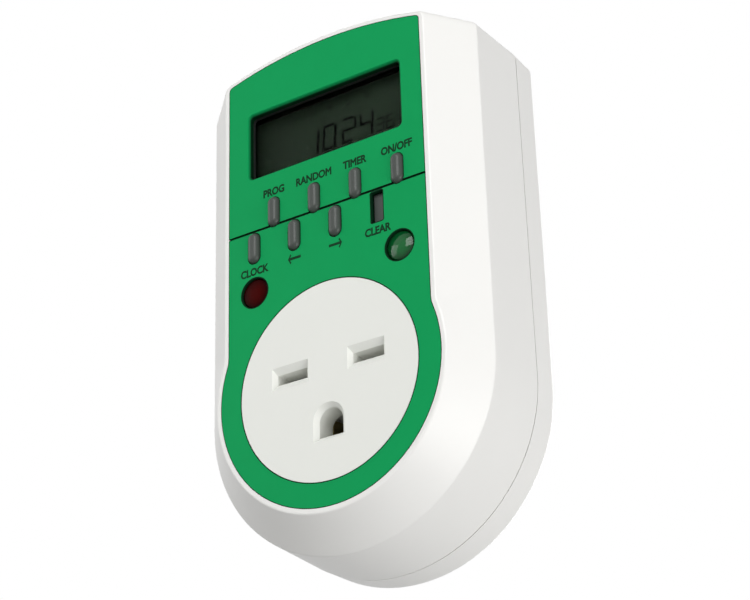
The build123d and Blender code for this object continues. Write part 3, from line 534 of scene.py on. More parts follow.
@dataclass(frozen=True)
class Polariser(Finish):
    """Dark cloudy face of a liquid crystal cell, with painted shadow: near black above what the window
    shows, for the shade under the window's top edge.

    Its middle and half size are in metres."""

    pale: Colour
    top_shade: Colour
    middle: Tuple[float, float] = (0.0, 0.0)
    half_size: Tuple[float, float] = (1.0, 1.0)
    slope: float = 0.2
    cloud: float = 6.0
    cloudiness: float = 0.4
    roughness: float = 0.26
    sheen: float = 0.08
    grain: float = 0.2
    grain_depth: float = 0.0012
    specular: float = 0.06

    def paint(self, shade: Shade) -> None:
        """Feeds the surface of a new material.

        Args:
            shade: The material under construction.
        """
        across = (shade.axis("X") - self.middle[0]) / self.half_size[0]
        along = (shade.axis("Z") - self.middle[1]) / self.half_size[1]
        cloud = shade.noise(self.cloud, Detail.CLOUDY)
        paler = across * self.slope + around(cloud, 0.5, self.cloudiness)
        shade.finish(
            # painted shadow: above the shown area the face takes top_shade
            Base_Color=shade.blend(along > 1.0, shade.blend(paler, self.colour, self.pale), self.top_shade),
            Roughness=around(cloud, self.roughness, self.sheen),
            Normal=shade.relief(shade.noise(self.grain, Detail.SMOOTH), self.grain_depth),
            Specular_IOR_Level=self.specular,
        )


class Grain(Enum):
    """How much finer the lines that working leaves in a metal are along X, Y and Z."""

    ALONG_BLADE = (1 / 0.06, 1.0, 1 / 0.06)
    ROUND_PIN = (1 / 0.08, 1.0, 1 / 0.08)
    TUMBLED = (1.0, 1.0, 1.0)


@dataclass(frozen=True)
class Metal(Finish):
    """Rolled, drawn or plated metal with its working lines and a little tarnish."""

    roughness: float
    grain: Grain = Grain.TUMBLED
    line: float = 0.72
    line_sheen: float = 0.14
    depth: float = 0.003
    tarnish: float = 3.5
    tarnish_sheen: float = 0.08
    tarnish_tones: Range = (0.86, 1.06)
    polish: float = 0.1

    def paint(self, shade: Shade) -> None:
        """Feeds the surface of a new material.

        Args:
            shade: The material under construction.
        """
        lines = shade.noise(self.line, Detail.CLOUDY, self.grain.value)
        tarnish = shade.noise(self.tarnish, Detail.BUSY)
        dull = lines * self.line_sheen + tarnish * self.tarnish_sheen
        shade.finish(
            Base_Color=shade.tones(tarnish, self.colour, self.tarnish_tones),
            Metallic=1.0,
            Roughness=dull + (self.roughness - self.polish),
            Normal=shade.relief(lines, self.depth),
        )


@dataclass(frozen=True)
class Laminate(Finish):
    """Printed board under solder mask: copper tracks show as a paler, raised pattern."""

    track: Colour
    pitch: float = 2.2
    gap: float = 0.16
    show_through: float = 0.55
    weave: float = 0.5
    weave_stretch: Triple = (1, 1, 0.25)
    weave_tones: Range = (0.85, 1.15)
    roughness: float = 0.34
    sheen: float = 0.12
    track_height: float = 0.6
    weave_height: float = 0.2
    depth: float = 0.03

    def paint(self, shade: Shade) -> None:
        """Feeds the surface of a new material.

        Args:
            shade: The material under construction.
        """
        track = shade.cells(self.pitch, Feature.BORDERS) > self.gap
        weave = shade.noise(self.weave, Detail.SMOOTH, self.weave_stretch)
        base = shade.tones(weave, self.colour, self.weave_tones)
        shade.finish(
            Base_Color=shade.blend(track * self.show_through, base, self.track),
            Roughness=around(weave, self.roughness, self.sheen),
            Normal=shade.relief(track * self.track_height + weave * self.weave_height, self.depth),
        )


@dataclass(frozen=True)
class Coating(Finish):
    """Dipped, potted or shrunk cover of an electronic part."""

    roughness: float = 0.4
    swell: float = 1.8
    depth: float = 0.04
    detail: Detail = Detail.CLOUDY
    sheen: float = 0.14
    swell_tones: Range = (0.9, 1.12)
    specular: float = 0.5

    def paint(self, shade: Shade) -> None:
        """Feeds the surface of a new material.

        Args:
            shade: The material under construction.
        """
        swell = shade.noise(self.swell, self.detail)
        shade.finish(
            Base_Color=shade.tones(swell, self.colour, self.swell_tones),
            Roughness=around(swell, self.roughness, self.sheen),
            Normal=shade.relief(swell, self.depth),
            Specular_IOR_Level=self.specular,
        )


@dataclass(frozen=True)
class Ink(Coating):
    """Pad-printed ink with slightly uneven cover."""

    roughness: float = 0.575
    swell: float = 0.35
    depth: float = 0.003
    detail: Detail = Detail.SOFT
    sheen: float = 0.15
    swell_tones: Range = (1.0, 1.5)
    specular: float = 0.08


SHELL = Moulding("white_shell", srgb(236, 235, 232), roughness=0.36, grain=0.3, mottle=0.012)
DISC = Moulding("white_disc", srgb(232, 233, 227), roughness=0.42, grain=0.24, grain_depth=0.005,
                mottle=0.012)
# GREEN's recess_shade is painted shade in the plate's openings and groove
GREEN = PlateMoulding("green_plate", srgb(8, 152, 84), roughness=0.46, grain=0.26, grain_depth=0.008,
                      mottle=0.05, wave=6.0, specular=0.07, recess_shade=srgb(3, 36, 18))
KEY_GREY = Moulding("grey_key", srgb(62, 67, 63), roughness=0.4, grain=0.2, mottle=0.05, wave=3.0,
                    specular=0.3)
INNER_WHITE = Moulding("natural_nylon", srgb(226, 224, 214), roughness=0.5)
# black of the display holder, partly painted shade, and of the window ring and display wall that are
# painted shadow
BLACK_FRAME_AND_SHADOW = Moulding("black_frame_and_shadow", srgb(24, 26, 25), roughness=0.5, mottle=0.05)
LEGEND_INK = Ink("legend_ink", srgb(3, 44, 22))
# painted shadow: dark lines laid in the gaps round the plate, the disc and the holes
SEAM_SHADOW = Ink("seam_shadow", srgb(4, 40, 21), roughness=0.775)
DIGIT_INK = Ink("lcd_segment", srgb(2, 3, 2), roughness=0.875)
# each lens's rim is painted shade round its edge, and its lighter middle painted light
RED_LENS = DyedLens("red_lens_plastic", srgb(58, 3, 2), 0.0, specular=0.03, roughness=0.3, crown=0.2,
                    rim=0.12)
GREEN_LENS = DyedLens("green_lens_plastic", srgb(16, 122, 58), 0.5, specular=0.16, roughness=0.05,
                      crown=0.9, rim=0.35)
RED_LAMP = DyedLens("red_lamp_resin", srgb(176, 30, 26), 0.5, roughness=0.12)
GREEN_LAMP = DyedLens("green_lamp_resin", srgb(70, 176, 96), 0.5, roughness=0.12)
PANE = ClearPane("window_pane", srgb(225, 232, 226))
# LCD's third colour is painted shadow along the top of the cell's face
LCD = Polariser("lcd_polariser", srgb(26, 33, 26), srgb(39, 48, 39), srgb(6, 8, 6))
BRASS = Metal("rolled_brass", srgb(142, 130, 92), 0.38, Grain.ALONG_BLADE)
NICKEL = Metal("plated_blade", srgb(206, 202, 192), 0.26, Grain.ALONG_BLADE)
PIN_NICKEL = Metal("plated_pin", srgb(206, 202, 192), 0.24, Grain.ROUND_PIN)
ZINC = Metal("zinc_screw", srgb(176, 178, 182), 0.34)
CAN = Metal("drawn_can", srgb(190, 190, 188), 0.3)
TIN = Metal("solder", srgb(186, 188, 190), 0.3)
MASK = Laminate("board_laminate", srgb(22, 84, 44), srgb(60, 132, 78))
SILICONE = Coating("silicone_mat", srgb(86, 90, 92), 0.62, 2.4, 0.01)
CONDUCTIVE = Coating("zebra_rubber", srgb(52, 53, 56), 0.6, 0.4, 0.02)
CHIP_BLACK = Coating("chip_resin", srgb(30, 30, 32), 0.5, 0.3, 0.01)
RELAY_BLUE = Coating("relay_case", srgb(24, 66, 138), 0.32, 3.0, 0.01)
FILM_YELLOW = Coating("film_case", srgb(206, 176, 58), 0.38, 2.6, 0.02)
SLEEVE = Coating("capacitor_sleeve", srgb(28, 32, 50), 0.3, 3.0, 0.01)
DIP_BLUE = Coating("varistor_dip", srgb(38, 84, 152), 0.36, 1.6, 0.06)
CERAMIC = Coating("ceramic_body", srgb(196, 184, 160), 0.6, 0.5, 0.02)
RIBBON = Coating("ribbon_insulation", srgb(170, 171, 174), 0.45, 1.27, 0.04)
WIRE_BLACK = Coating("black_insulation", srgb(26, 26, 28), 0.42, 1.4, 0.02)
WIRE_BROWN = Coating("brown_insulation", srgb(98, 58, 36), 0.42, 1.4, 0.02)


# ---------------------------------------------------------------------------- pieces
def dress(node: str, finish: Finish) -> None:
    """Gives a carried-over node its finish in every material slot.

    Args:
        node: The node's name.
        finish: The finish that it takes.
    """
    mesh = frame["nodes"][node].data
    if not mesh.materials:
        mesh.materials.append(finish.material())
    for index in range(len(mesh.materials)):
        mesh.materials[index] = finish.material()
    LOG.info("%s dressed in %s", node, finish.name)


def placed(name: str, data: bpy.types.ID, matrix: Optional[Matrix] = None) -> bpy.types.Object:
    """New object in the scene.

    Args:
        name: The object's name.
        data: Its mesh, curve, lamp or camera data.
        matrix: Its place, or none for the origin.

    Returns:
        The object.
    """
    item = bpy.data.objects.new(name, data)
    if matrix is not None:
        item.matrix_world = matrix
    bpy.context.scene.collection.objects.link(item)
    return item


def new_piece(name: str, mesh: bpy.types.Mesh, finish: Finish, body: str) -> bpy.types.Object:
    """Adds a finished piece that rides on a body.

    Args:
        name: The piece's name.
        mesh: Its mesh, already in place.
        finish: Its finish.
        body: The body that carries it.

    Returns:
        The new object.
    """
    mesh.name = name
    mesh.materials.clear()
    mesh.materials.append(finish.material())
    piece = placed(name, mesh)
    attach(piece, body)
    LOG.info("%s: %d faces on %s", name, len(mesh.polygons), body)
    return piece


def shape(corners: Sequence[Sequence[float]], faces: Sequence[Sequence[int]]) -> bpy.types.Mesh:
    """Mesh of given corners and faces.

    Args:
        corners: Places of the corners, in metres.
        faces: Each face's corners by number, anticlockwise from outside.

    Returns:
        The mesh.
    """
    mesh = bpy.data.meshes.new("shape")
    mesh.from_pydata([tuple(corner) for corner in corners], [], faces)
    mesh.update()
    return mesh


def baked(maker: bpy.types.Object) -> bpy.types.Mesh:
    """Plain mesh of an object as it evaluates.

    Args:
        maker: The object, which is removed.

    Returns:
        The mesh.
    """
    bpy.context.view_layer.update()
    graph = bpy.context.evaluated_depsgraph_get()
    mesh = bpy.data.meshes.new_from_object(
        maker.evaluated_get(graph), preserve_all_data_layers=True, depsgraph=graph)
    data = maker.data
    bpy.data.objects.remove(maker)
    bpy.data.batch_remove([data])
    return mesh


def joined(meshes: Sequence[bpy.types.Mesh]) -> bpy.types.Mesh:
    """One mesh of several.

    Args:
        meshes: The meshes, which are removed.

    Returns:
        The whole mesh.
    """
    whole = bmesh.new()
    for mesh in meshes:
        whole.from_mesh(mesh)
        bpy.data.meshes.remove(mesh)
    merged = bpy.data.meshes.new("joined")
    whole.to_mesh(merged)
    whole.free()
    return merged


@dataclass(frozen=True)
class Lettering:
    """Plain printed capitals that face the front. Sizes are in millimetres."""

    height: float
    boldness: float = 0.1
    capital_share: float = 0.7
    narrowing: float = 0.86
    spacing: float = 0.98
    curve_steps: int = 3

    def build(self, text: str, x: float, z: float, face: float) -> bpy.types.Mesh:
        """Sets one word.

        Args:
            text: The letters.
            x: Middle of the word, in millimetres.
            z: Middle of the capitals, in millimetres.
            face: Y of the surface that it lies on, in metres.

        Returns:
            The letters as a mesh in place.
        """
        curve = bpy.data.curves.new("letters", "FONT")
        curve.body = text
        curve.align_x = "CENTER"
        curve.size = self.height * MM / self.capital_share
        curve.space_character = self.spacing
        curve.bevel_depth = self.boldness * MM
        curve.bevel_resolution = 0
        curve.resolution_u = self.curve_steps
        mesh = baked(placed("letters", curve))
        mesh.transform(Matrix.Diagonal((self.narrowing, 1, INK_THICKNESS / (2 * self.boldness), 1)))
        corner = Vector((x * MM, face - INK_THICKNESS * MM / 2, (z - self.height / 2) * MM))
        mesh.transform(Matrix.Translation(corner) @ FACING_FRONT)
        return mesh


def polygon(points: Sequence[Tuple[float, float]], face: float, thickness: float) -> bpy.types.Mesh:
    """Flat shape that faces the front.

    Args:
        points: Its corners as x and z in millimetres, anticlockwise from the front.
        face: Y of the surface that it lies on, in metres.
        thickness: In millimetres.

    Returns:
        The closed mesh.
    """
    count = len(points)
    corners = [(x * MM, y, z * MM) for y in (face - thickness * MM, face) for x, z in points]
    faces = [tuple(range(count)), tuple(range(2 * count - 1, count - 1, -1))]
    faces += [(i, i + count, (i + 1) % count + count, (i + 1) % count) for i in range(count)]
    return shape(corners, faces)


def front_outlines(node: str) -> List[List[Vector]]:
    """Points round each closed line that bounds a node's front face, in order.

    Args:
        node: The carried-over node.

    Returns:
        The points of each line, the longest line first.
    """
    work = bmesh.new()
    work.from_mesh(frame["nodes"][node].data)
    bmesh.ops.remove_doubles(work, verts=work.verts, dist=WELD)
    front = min(vert.co.y for vert in work.verts)
    flat = {face for face in work.faces if all(vert.co.y - front < LEVEL for vert in face.verts)}
    rim = [edge for edge in work.edges if sum(face in flat for face in edge.link_faces) == 1]
    left = set(rim)
    lines = []
    for edge in rim:
        if edge not in left:
            continue
        left.discard(edge)
        line = list(edge.verts)
        while line[-1] is not line[0]:
            onward = next((other for other in line[-1].link_edges if other in left), None)
            if onward is None:
                break
            left.discard(onward)
            line.append(onward.other_vert(line[-1]))
        lines.append([vert.co.copy() for vert in line[:-1]])
    work.free()
    lines.sort(key=lambda points: -sum((a - b).length for a, b in zip(points, points[1:])))
    return lines


def seam(line: Sequence[Vector], inside: float, outside: float, thickness: float,
         start: float = -PROUD) -> bpy.types.Mesh:
    """Bead along a closed line that faces the front.

    Args:
        line: The line's points.
        inside: How far it reaches to the inside of the line, in millimetres.
        outside: How far it reaches to the outside of the line, in millimetres.
        thickness: In millimetres.
        start: How far behind the line it starts, in millimetres.

    Returns:
        The closed mesh.
    """
    points = list(line)
    count = len(points)
    if sum(a.x * b.z - b.x * a.z for a, b in zip(points, points[1:] + points[:1])) < 0:
        points.reverse()
    end = start + thickness
    profile = ((-inside, start), (outside, start), (outside, end), (-inside, end))
    corners, faces = [], []
    for side, (reach, depth) in enumerate(profile):
        ring, next_ring = side * count, (side + 1) % len(profile) * count
        for i, point in enumerate(points):
            onward = (i + 1) % count
            along = (points[onward] - points[i - 1]).normalized()
            corners.append(point + Vector((along.z * reach, depth, -along.x * reach)) * MM)
            faces.append((ring + i, next_ring + i, next_ring + onward, ring + onward))
    return shape(corners, faces)


# ---------------------------------------------------------------------------- repeated pieces
EXTENTS = ("Width", "Depth", "Height")


class Bit(Enum):
    """Small shape that a repeat sets down at each point: its node's type, inputs and settings."""

    SEGMENT = ("GeometryNodeMeshCircle", {"Vertices": 6, "Radius": 0.5}, {"fill_type": "NGON"})
    BEAD = ("GeometryNodeMeshIcoSphere", {"Radius": 0.5, "Subdivisions": 2}, {})
    LEG = ("GeometryNodeMeshCube", {"Size": (1, 1, 1)}, {})


@dataclass
class Repeat:
    """Copies of one small shape at given points, made by Geometry Nodes.

    The shape's size is in millimetres, and the places hold metres and radians."""

    name: str
    bit: Bit
    size: Triple
    places: List[Tuple[Vector, float]] = field(default_factory=list)

    def add(self, x: float, y: float, z: float, turn: float = 0.0) -> None:
        """Sets one place in millimetres, and a turn about Y in degrees."""
        self.places.append((Vector((x, y, z)) * MM, math.radians(turn)))

    def _shape(self, graph: Graph, entry: bpy.types.Node) -> Value:
        """Makes the small shape.

        Args:
            graph: The tree under construction.
            entry: The node that gives the tree's inputs.

        Returns:
            The shape, scaled from unit size by the named inputs.
        """
        kind, inputs, settings = self.bit.value
        unit = graph.value(kind, "Mesh", inputs, **settings)
        if self.bit is Bit.SEGMENT:
            unit = graph.value("GeometryNodeExtrudeMesh", "Mesh", {"Mesh": unit, "Offset Scale": 1.0})
        scale = graph.value("ShaderNodeCombineXYZ", "Vector", {
            axis: Value(graph, entry.outputs[extent]) for axis, extent in zip("XYZ", EXTENTS)
        })
        return graph.value("GeometryNodeTransform", "Geometry", {"Geometry": unit, "Scale": scale})

    def _tree(self, finish: Finish) -> bpy.types.NodeTree:
        """Makes the tree that sets the shape down at every point.

        Args:
            finish: The shapes' finish.

        Returns:
            The tree, with the points and the shape's three sizes as its inputs.
        """
        tree = bpy.data.node_groups.new(self.name + "_tree", "GeometryNodeTree")
        tree.interface.new_socket("Points", in_out="INPUT", socket_type="NodeSocketGeometry")
        for extent in EXTENTS:
            tree.interface.new_socket(extent, in_out="INPUT", socket_type="NodeSocketFloat")
        tree.interface.new_socket("Pieces", in_out="OUTPUT", socket_type="NodeSocketGeometry")
        graph = Graph(tree)
        entry = graph.node("NodeGroupInput", {})
        turn = graph.value("GeometryNodeInputNamedAttribute", "Attribute", {"Name": "turn"},
                           data_type="FLOAT")
        copies = graph.value("GeometryNodeInstanceOnPoints", "Instances", {
            "Points": Value(graph, entry.outputs["Points"]),
            "Instance": self._shape(graph, entry),
            "Rotation": graph.value("ShaderNodeCombineXYZ", "Vector", {"Y": turn}),
        })
        real = graph.value("GeometryNodeRealizeInstances", "Geometry", {"Geometry": copies})
        coated = graph.value("GeometryNodeSetMaterial", "Geometry", {
            "Geometry": real, "Material": finish.material(),
        })
        graph.node("NodeGroupOutput", {"Pieces": coated})
        return tree

    def build(self, finish: Finish, body: str, slot: str) -> bpy.types.Object:
        """Makes the copies as one plain piece.

        Args:
            finish: Their finish.
            body: The body that carries them.
            slot: The record's material slot; not used.

        Returns:
            The finished piece.
        """
        cloud = shape([spot for spot, _ in self.places], [])
        turns = cloud.attributes.new("turn", "FLOAT", "POINT")
        turns.data.foreach_set("value", [turn for _, turn in self.places])
        maker = placed(self.name + "_maker", cloud)
        modifier = maker.modifiers.new("repeat", "NODES")
        tree = self._tree(finish)
        modifier.node_group = tree
        inputs = {item.name: item.identifier for item in tree.interface.items_tree
                  if item.in_out == "INPUT"}
        for extent, size in zip(EXTENTS, self.size):
            modifier[inputs[extent]] = size * MM
        mesh = baked(maker)
        bpy.data.node_groups.remove(tree)
        return new_piece(self.name, mesh, finish, body)


# ---------------------------------------------------------------------------- sub-assemblies
@dataclass
class Assembly:
    """Sub-assembly whose carried-over nodes each take a finish."""

    finishes: Tuple[Tuple[str, Finish], ...] = ()

    def dress(self) -> None:
        """Finishes the nodes."""
        for node, finish in self.finishes:
            dress(node, finish)


@dataclass
class Casing(Assembly):
    """White front housing and rear cover with their screws."""

    finishes: Tuple[Tuple[str, Finish], ...] = (
        ("front_housing", SHELL), ("rear_cover", SHELL), ("housing_screws", ZINC),
    )


class Side(Enum):
    """Side of a key on which its print stands."""

    ABOVE = 1
    BELOW = -1


class Way(Enum):
    """Way in which an arrow points."""

    LEFT = -1
    RIGHT = 1


@dataclass
class FacePlate(Assembly):
    """Green plate with generic words and arrows, with painted shadow: dark lines round its edges and holes
    and a black rim inside its window.

    Sizes are in millimetres."""

    letters: Lettering = Lettering(1.7)
    above: float = 1.55
    below: float = 1.9
    flange: float = 0.6
    arrow_reach: float = 1.6
    arrow_head: float = 0.85
    arrow_line: float = 0.3
    arrow_neck: float = 0.6
    arrow_barb: float = 0.7
    gap: float = 0.1
    lap: float = 0.1
    thin_lap: float = 0.03
    line_shadow_depth: float = 1.0
    chamfer: float = 0.5
    window_shadow: float = 0.7
    window_shadow_start: float = 1.5
    words: Tuple[Tuple[str, str, Side], ...] = (
        ("set_key", "PROG", Side.ABOVE), ("random_key", "RANDOM", Side.ABOVE),
        ("countdown_key", "TIMER", Side.ABOVE), ("manual_key", "ON/OFF", Side.ABOVE),
        ("time_key", "CLOCK", Side.BELOW), ("reset_key", "CLEAR", Side.BELOW),
    )
    arrows: Tuple[Tuple[str, Way], ...] = (("left_key", Way.LEFT), ("right_key", Way.RIGHT))

    def dress(self) -> None:
        """Finishes the plate and adds its print, and dark lines and a black window rim as painted shadow.
        """
        low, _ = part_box("face_plate")
        dress("face_plate", replace(GREEN, front=low.y))
        prints = [self.letters.build(text, *self._spot(node, side), low.y)
                  for node, text, side in self.words]
        prints += [self._arrow(node, way, low.y) for node, way in self.arrows]
        new_piece("plate_print", joined(prints), LEGEND_INK, CASE)
        upper, lower, disc_hole, window, *small_holes = front_outlines("face_plate")
        # painted shadow: dark strips in the gaps round the plate's edges, the disc and the lenses
        beads = [seam(rim, self.thin_lap, self.gap, self.line_shadow_depth) for rim in (upper, lower)]
        beads += [seam(hole, self.gap, self.lap, self.line_shadow_depth) for hole in (disc_hole, *small_holes)]
        new_piece("plate_seam_shadow", joined(beads), SEAM_SHADOW, CASE)
        # painted shadow: a black ring inside the window hole, behind the front, darkens the hole's walls
        window_shadow = seam(window, self.chamfer + self.gap, -self.chamfer, self.window_shadow, self.window_shadow_start)
        new_piece("window_shadow_rim", window_shadow, BLACK_FRAME_AND_SHADOW, CASE)

    def _spot(self, node: str, side: Side) -> Tuple[float, float]:
        """Finds the middle of the print beside a key.

        Args:
            node: The key.
            side: The side of the key on which the print stands.

        Returns:
            Its x and z in millimetres.
        """
        low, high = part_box(node)
        x = (low.x + high.x) / 2 / MM
        if side is Side.ABOVE:
            return x, high.z / MM - self.flange + self.above
        return x, low.z / MM + self.flange - self.below

    def _arrow(self, node: str, way: Way, face: float) -> bpy.types.Mesh:
        """Makes the thin arrow below a key.

        Args:
            node: The key.
            way: The way in which the arrow points.
            face: Y of the plate's front, in metres.

        Returns:
            The arrow as a mesh in place.
        """
        x, z = self._spot(node, Side.BELOW)
        reach, head, line = self.arrow_reach, self.arrow_head, self.arrow_line
        lower = [(-reach, -line), (reach - head * self.arrow_neck, -line), (reach - head, -head),
                 (reach - head * self.arrow_barb, -head - line)]
        upper = [(along, -rise) for along, rise in reversed(lower)]
        points = [(x + way.value * along, z + rise) for along, rise in (*lower, (reach, 0.0), *upper)]
        if way is Way.LEFT:
            points.reverse()
        return polygon(points, face, INK_THICKNESS)


@dataclass
class Outlet(Assembly):
    """Socket disc, its contacts and what holds them."""

    finishes: Tuple[Tuple[str, Finish], ...] = (
        ("socket_face", DISC), ("line_contact_left", BRASS), ("line_contact_right", BRASS),
        ("ground_contact", BRASS), ("contact_carrier", INNER_WHITE), ("carrier_screws", ZINC),
    )


@dataclass(frozen=True)
class Number:
    """Number on the display, placed by the middle of its first digit. Sizes are in millimetres."""

    digits: str
    x: float
    rise: float
    scale: float = 1.0
    pitch: Optional[float] = None


@dataclass
class Display(Assembly):
    """Liquid crystal display behind its pane, showing plain clock digits. Sizes are in millimetres."""

    finishes: Tuple[Tuple[str, Finish], ...] = (
        ("lcd_window", PANE), ("lcd_holder", BLACK_FRAME_AND_SHADOW), ("zebra_strip", CONDUCTIVE),
    )
    pane_margin: float = 2.0
    edge_shadow_inset: float = 0.75
    edge_shadow_width: float = 0.15
    edge_shadow_start: float = 0.02
    edge_shadow_depth: float = 0.75
    digit_height: float = 5.4
    digit_width: float = 2.9
    digit_gap: float = 1.5
    lean: float = 0.09
    stroke: float = 0.62
    segment_share: float = 0.92
    numbers: Tuple[Tuple[str, Tuple[Number, ...]], ...] = (
        ("lcd_segments", (Number("10", -5.8, -1.9), Number("24", 3.6, -1.9))),
        ("lcd_small_segments", (Number("36", 11.6, -3.3, 0.55),)),
        ("lcd_day_segments", (Number("1234567", -15.8, 5.4, 0.34, 4.9),)),
    )
    lit: Dict[str, str] = field(default_factory=lambda: {
        "0": "abcdef", "1": "bc", "2": "abged", "3": "abgcd", "4": "fgbc", "5": "afgcd",
        "6": "afgedc", "7": "abc",
    })

    def dress(self) -> None:
        """Finishes the display, adds a thin black wall behind the pane's edges as painted shadow, and sets
        its numbers.
        """
        super().dress()
        low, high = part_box("lcd_window")
        middle = (low + high) / 2
        flat = Vector((1, 0, 1)) * MM
        reach = (high - low) / 2 - flat * self.pane_margin
        dress("lcd_panel", replace(LCD, middle=(middle.x, middle.z), half_size=(reach.x, reach.z)))
        # painted shadow: a thin black wall behind the pane's edges darkens the display's rim
        start, end = low + flat * self.edge_shadow_inset, high - flat * self.edge_shadow_inset
        corners = [Vector((x, high.y, z)) for x, z in (
            (start.x, start.z), (end.x, start.z), (end.x, end.z), (start.x, end.z))]
        mask = seam(corners, self.edge_shadow_width, 0.0, self.edge_shadow_depth, self.edge_shadow_start)
        new_piece("display_edge_shadow", mask, BLACK_FRAME_AND_SHADOW, CASE)
        cell_low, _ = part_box("lcd_panel")
        origin = Vector((0, cell_low.y / MM - INK_THICKNESS, middle.z / MM))
        for name, group in self.numbers:
            scale = group[0].scale
            bar = (self.digit_width * self.segment_share * scale, INK_THICKNESS, self.stroke * scale)
            bars = Repeat(name, Bit.SEGMENT, bar)
            for number in group:
                self._set(bars, number, origin)
            bars.build(DIGIT_INK, CASE, "display")

    def _set(self, bars: Repeat, number: Number, origin: Vector) -> None:
        """Sets the segments of a number.

        Args:
            bars: The repeat that they go into.
            number: The number.
            origin: Middle of the window on the cell's face, in millimetres.
        """
        step = number.pitch or (self.digit_width + self.digit_gap) * number.scale
        half = self.digit_height / 4 * number.scale
        side = self.digit_width / 2 * number.scale
        places = {
            "a": (0, 2 * half, 0), "g": (0, 0, 0), "d": (0, -2 * half, 0),
            "f": (-side, half, 90), "b": (side, half, 90),
            "e": (-side, -half, 90), "c": (side, -half, 90),
        }
        for index, digit in enumerate(number.digits):
            for part in self.lit[digit]:
                across, rise, turn = places[part]
                x = number.x + index * step + across + rise * self.lean
                bars.add(x, origin.y, origin.z + number.rise + rise, turn)


@dataclass
class Keypad(Assembly):
    """Grey keys on their rubber mat. Sizes are in millimetres."""

    keys: Tuple[str, ...] = ("set", "random", "countdown", "manual", "time", "left", "right", "reset")
    travel: float = 0.8
    mat_slot: str = "rubber"
    mat_thickness: float = 0.6
    stub: float = 0.02
    dome_reach: Tuple[float, float] = (2.5, 5.0)

    def dress(self) -> None:
        """Finishes the keys, and parts the mat into a sheet and a dome for each key."""
        for key in self.keys:
            dress(key + "_key", KEY_GREY)
        dress("keypad_mat", SILICONE)
        low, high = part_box("keypad_mat")
        level = high.y - (self.mat_thickness + self.stub) * MM
        sheet = new_piece("mat_sheet", self._half(level, False), SILICONE, CASE)
        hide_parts("keypad_mat")
        for key in self.keys:
            key_low, key_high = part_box(key + "_key")
            middle = (key_low + key_high) / 2
            mesh = self._half(level, True, middle)
            dome = new_piece("mat_dome_" + key, mesh, SILICONE, CASE)
            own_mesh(dome)

    def _half(self, level: float, front: bool, middle: Optional[Vector] = None) -> bpy.types.Mesh:
        """Closed part of the mat on one side of a level.

        Args:
            level: Y of the cut, in metres.
            front: Whether to keep the part in front of the cut.
            middle: Middle of the one dome to keep, or none to keep them all.

        Returns:
            The closed mesh.
        """
        part = bmesh.new()
        part.from_mesh(frame["nodes"]["keypad_mat"].data)
        bmesh.ops.remove_doubles(part, verts=part.verts, dist=WELD)
        cut = bmesh.ops.bisect_plane(
            part, geom=part.verts[:] + part.edges[:] + part.faces[:], plane_co=(0, level, 0),
            plane_no=(0, 1, 0), clear_outer=front, clear_inner=not front)
        rim = [item for item in cut["geom_cut"] if isinstance(item, bmesh.types.BMEdge)]
        bmesh.ops.triangle_fill(part, use_beauty=True, edges=rim)
        if middle is not None:
            across, along = (reach * MM for reach in self.dome_reach)
            others = [vert for vert in part.verts
                      if abs(vert.co.x - middle.x) > across or abs(vert.co.z - middle.z) > along]
            bmesh.ops.delete(part, geom=others, context="VERTS")
        bmesh.ops.recalc_face_normals(part, faces=part.faces)
        mesh = bpy.data.meshes.new("mat_part")
        part.to_mesh(mesh)
        part.free()
        return mesh


@dataclass
class Lamps(Assembly):
    """Red and green lamps behind their lenses."""

    finishes: Tuple[Tuple[str, Finish], ...] = (("red_led", RED_LAMP), ("green_led", GREEN_LAMP))
    lenses: Tuple[Tuple[str, DyedLens], ...] = (("red_lens", RED_LENS), ("green_lens", GREEN_LENS))

    def dress(self) -> None:
        """Finishes the lamps, and each lens round its own middle."""
        super().dress()
        for node, finish in self.lenses:
            low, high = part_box(node)
            middle = (low + high) / 2
            dress(node, replace(finish, middle=(middle.x, middle.z)))


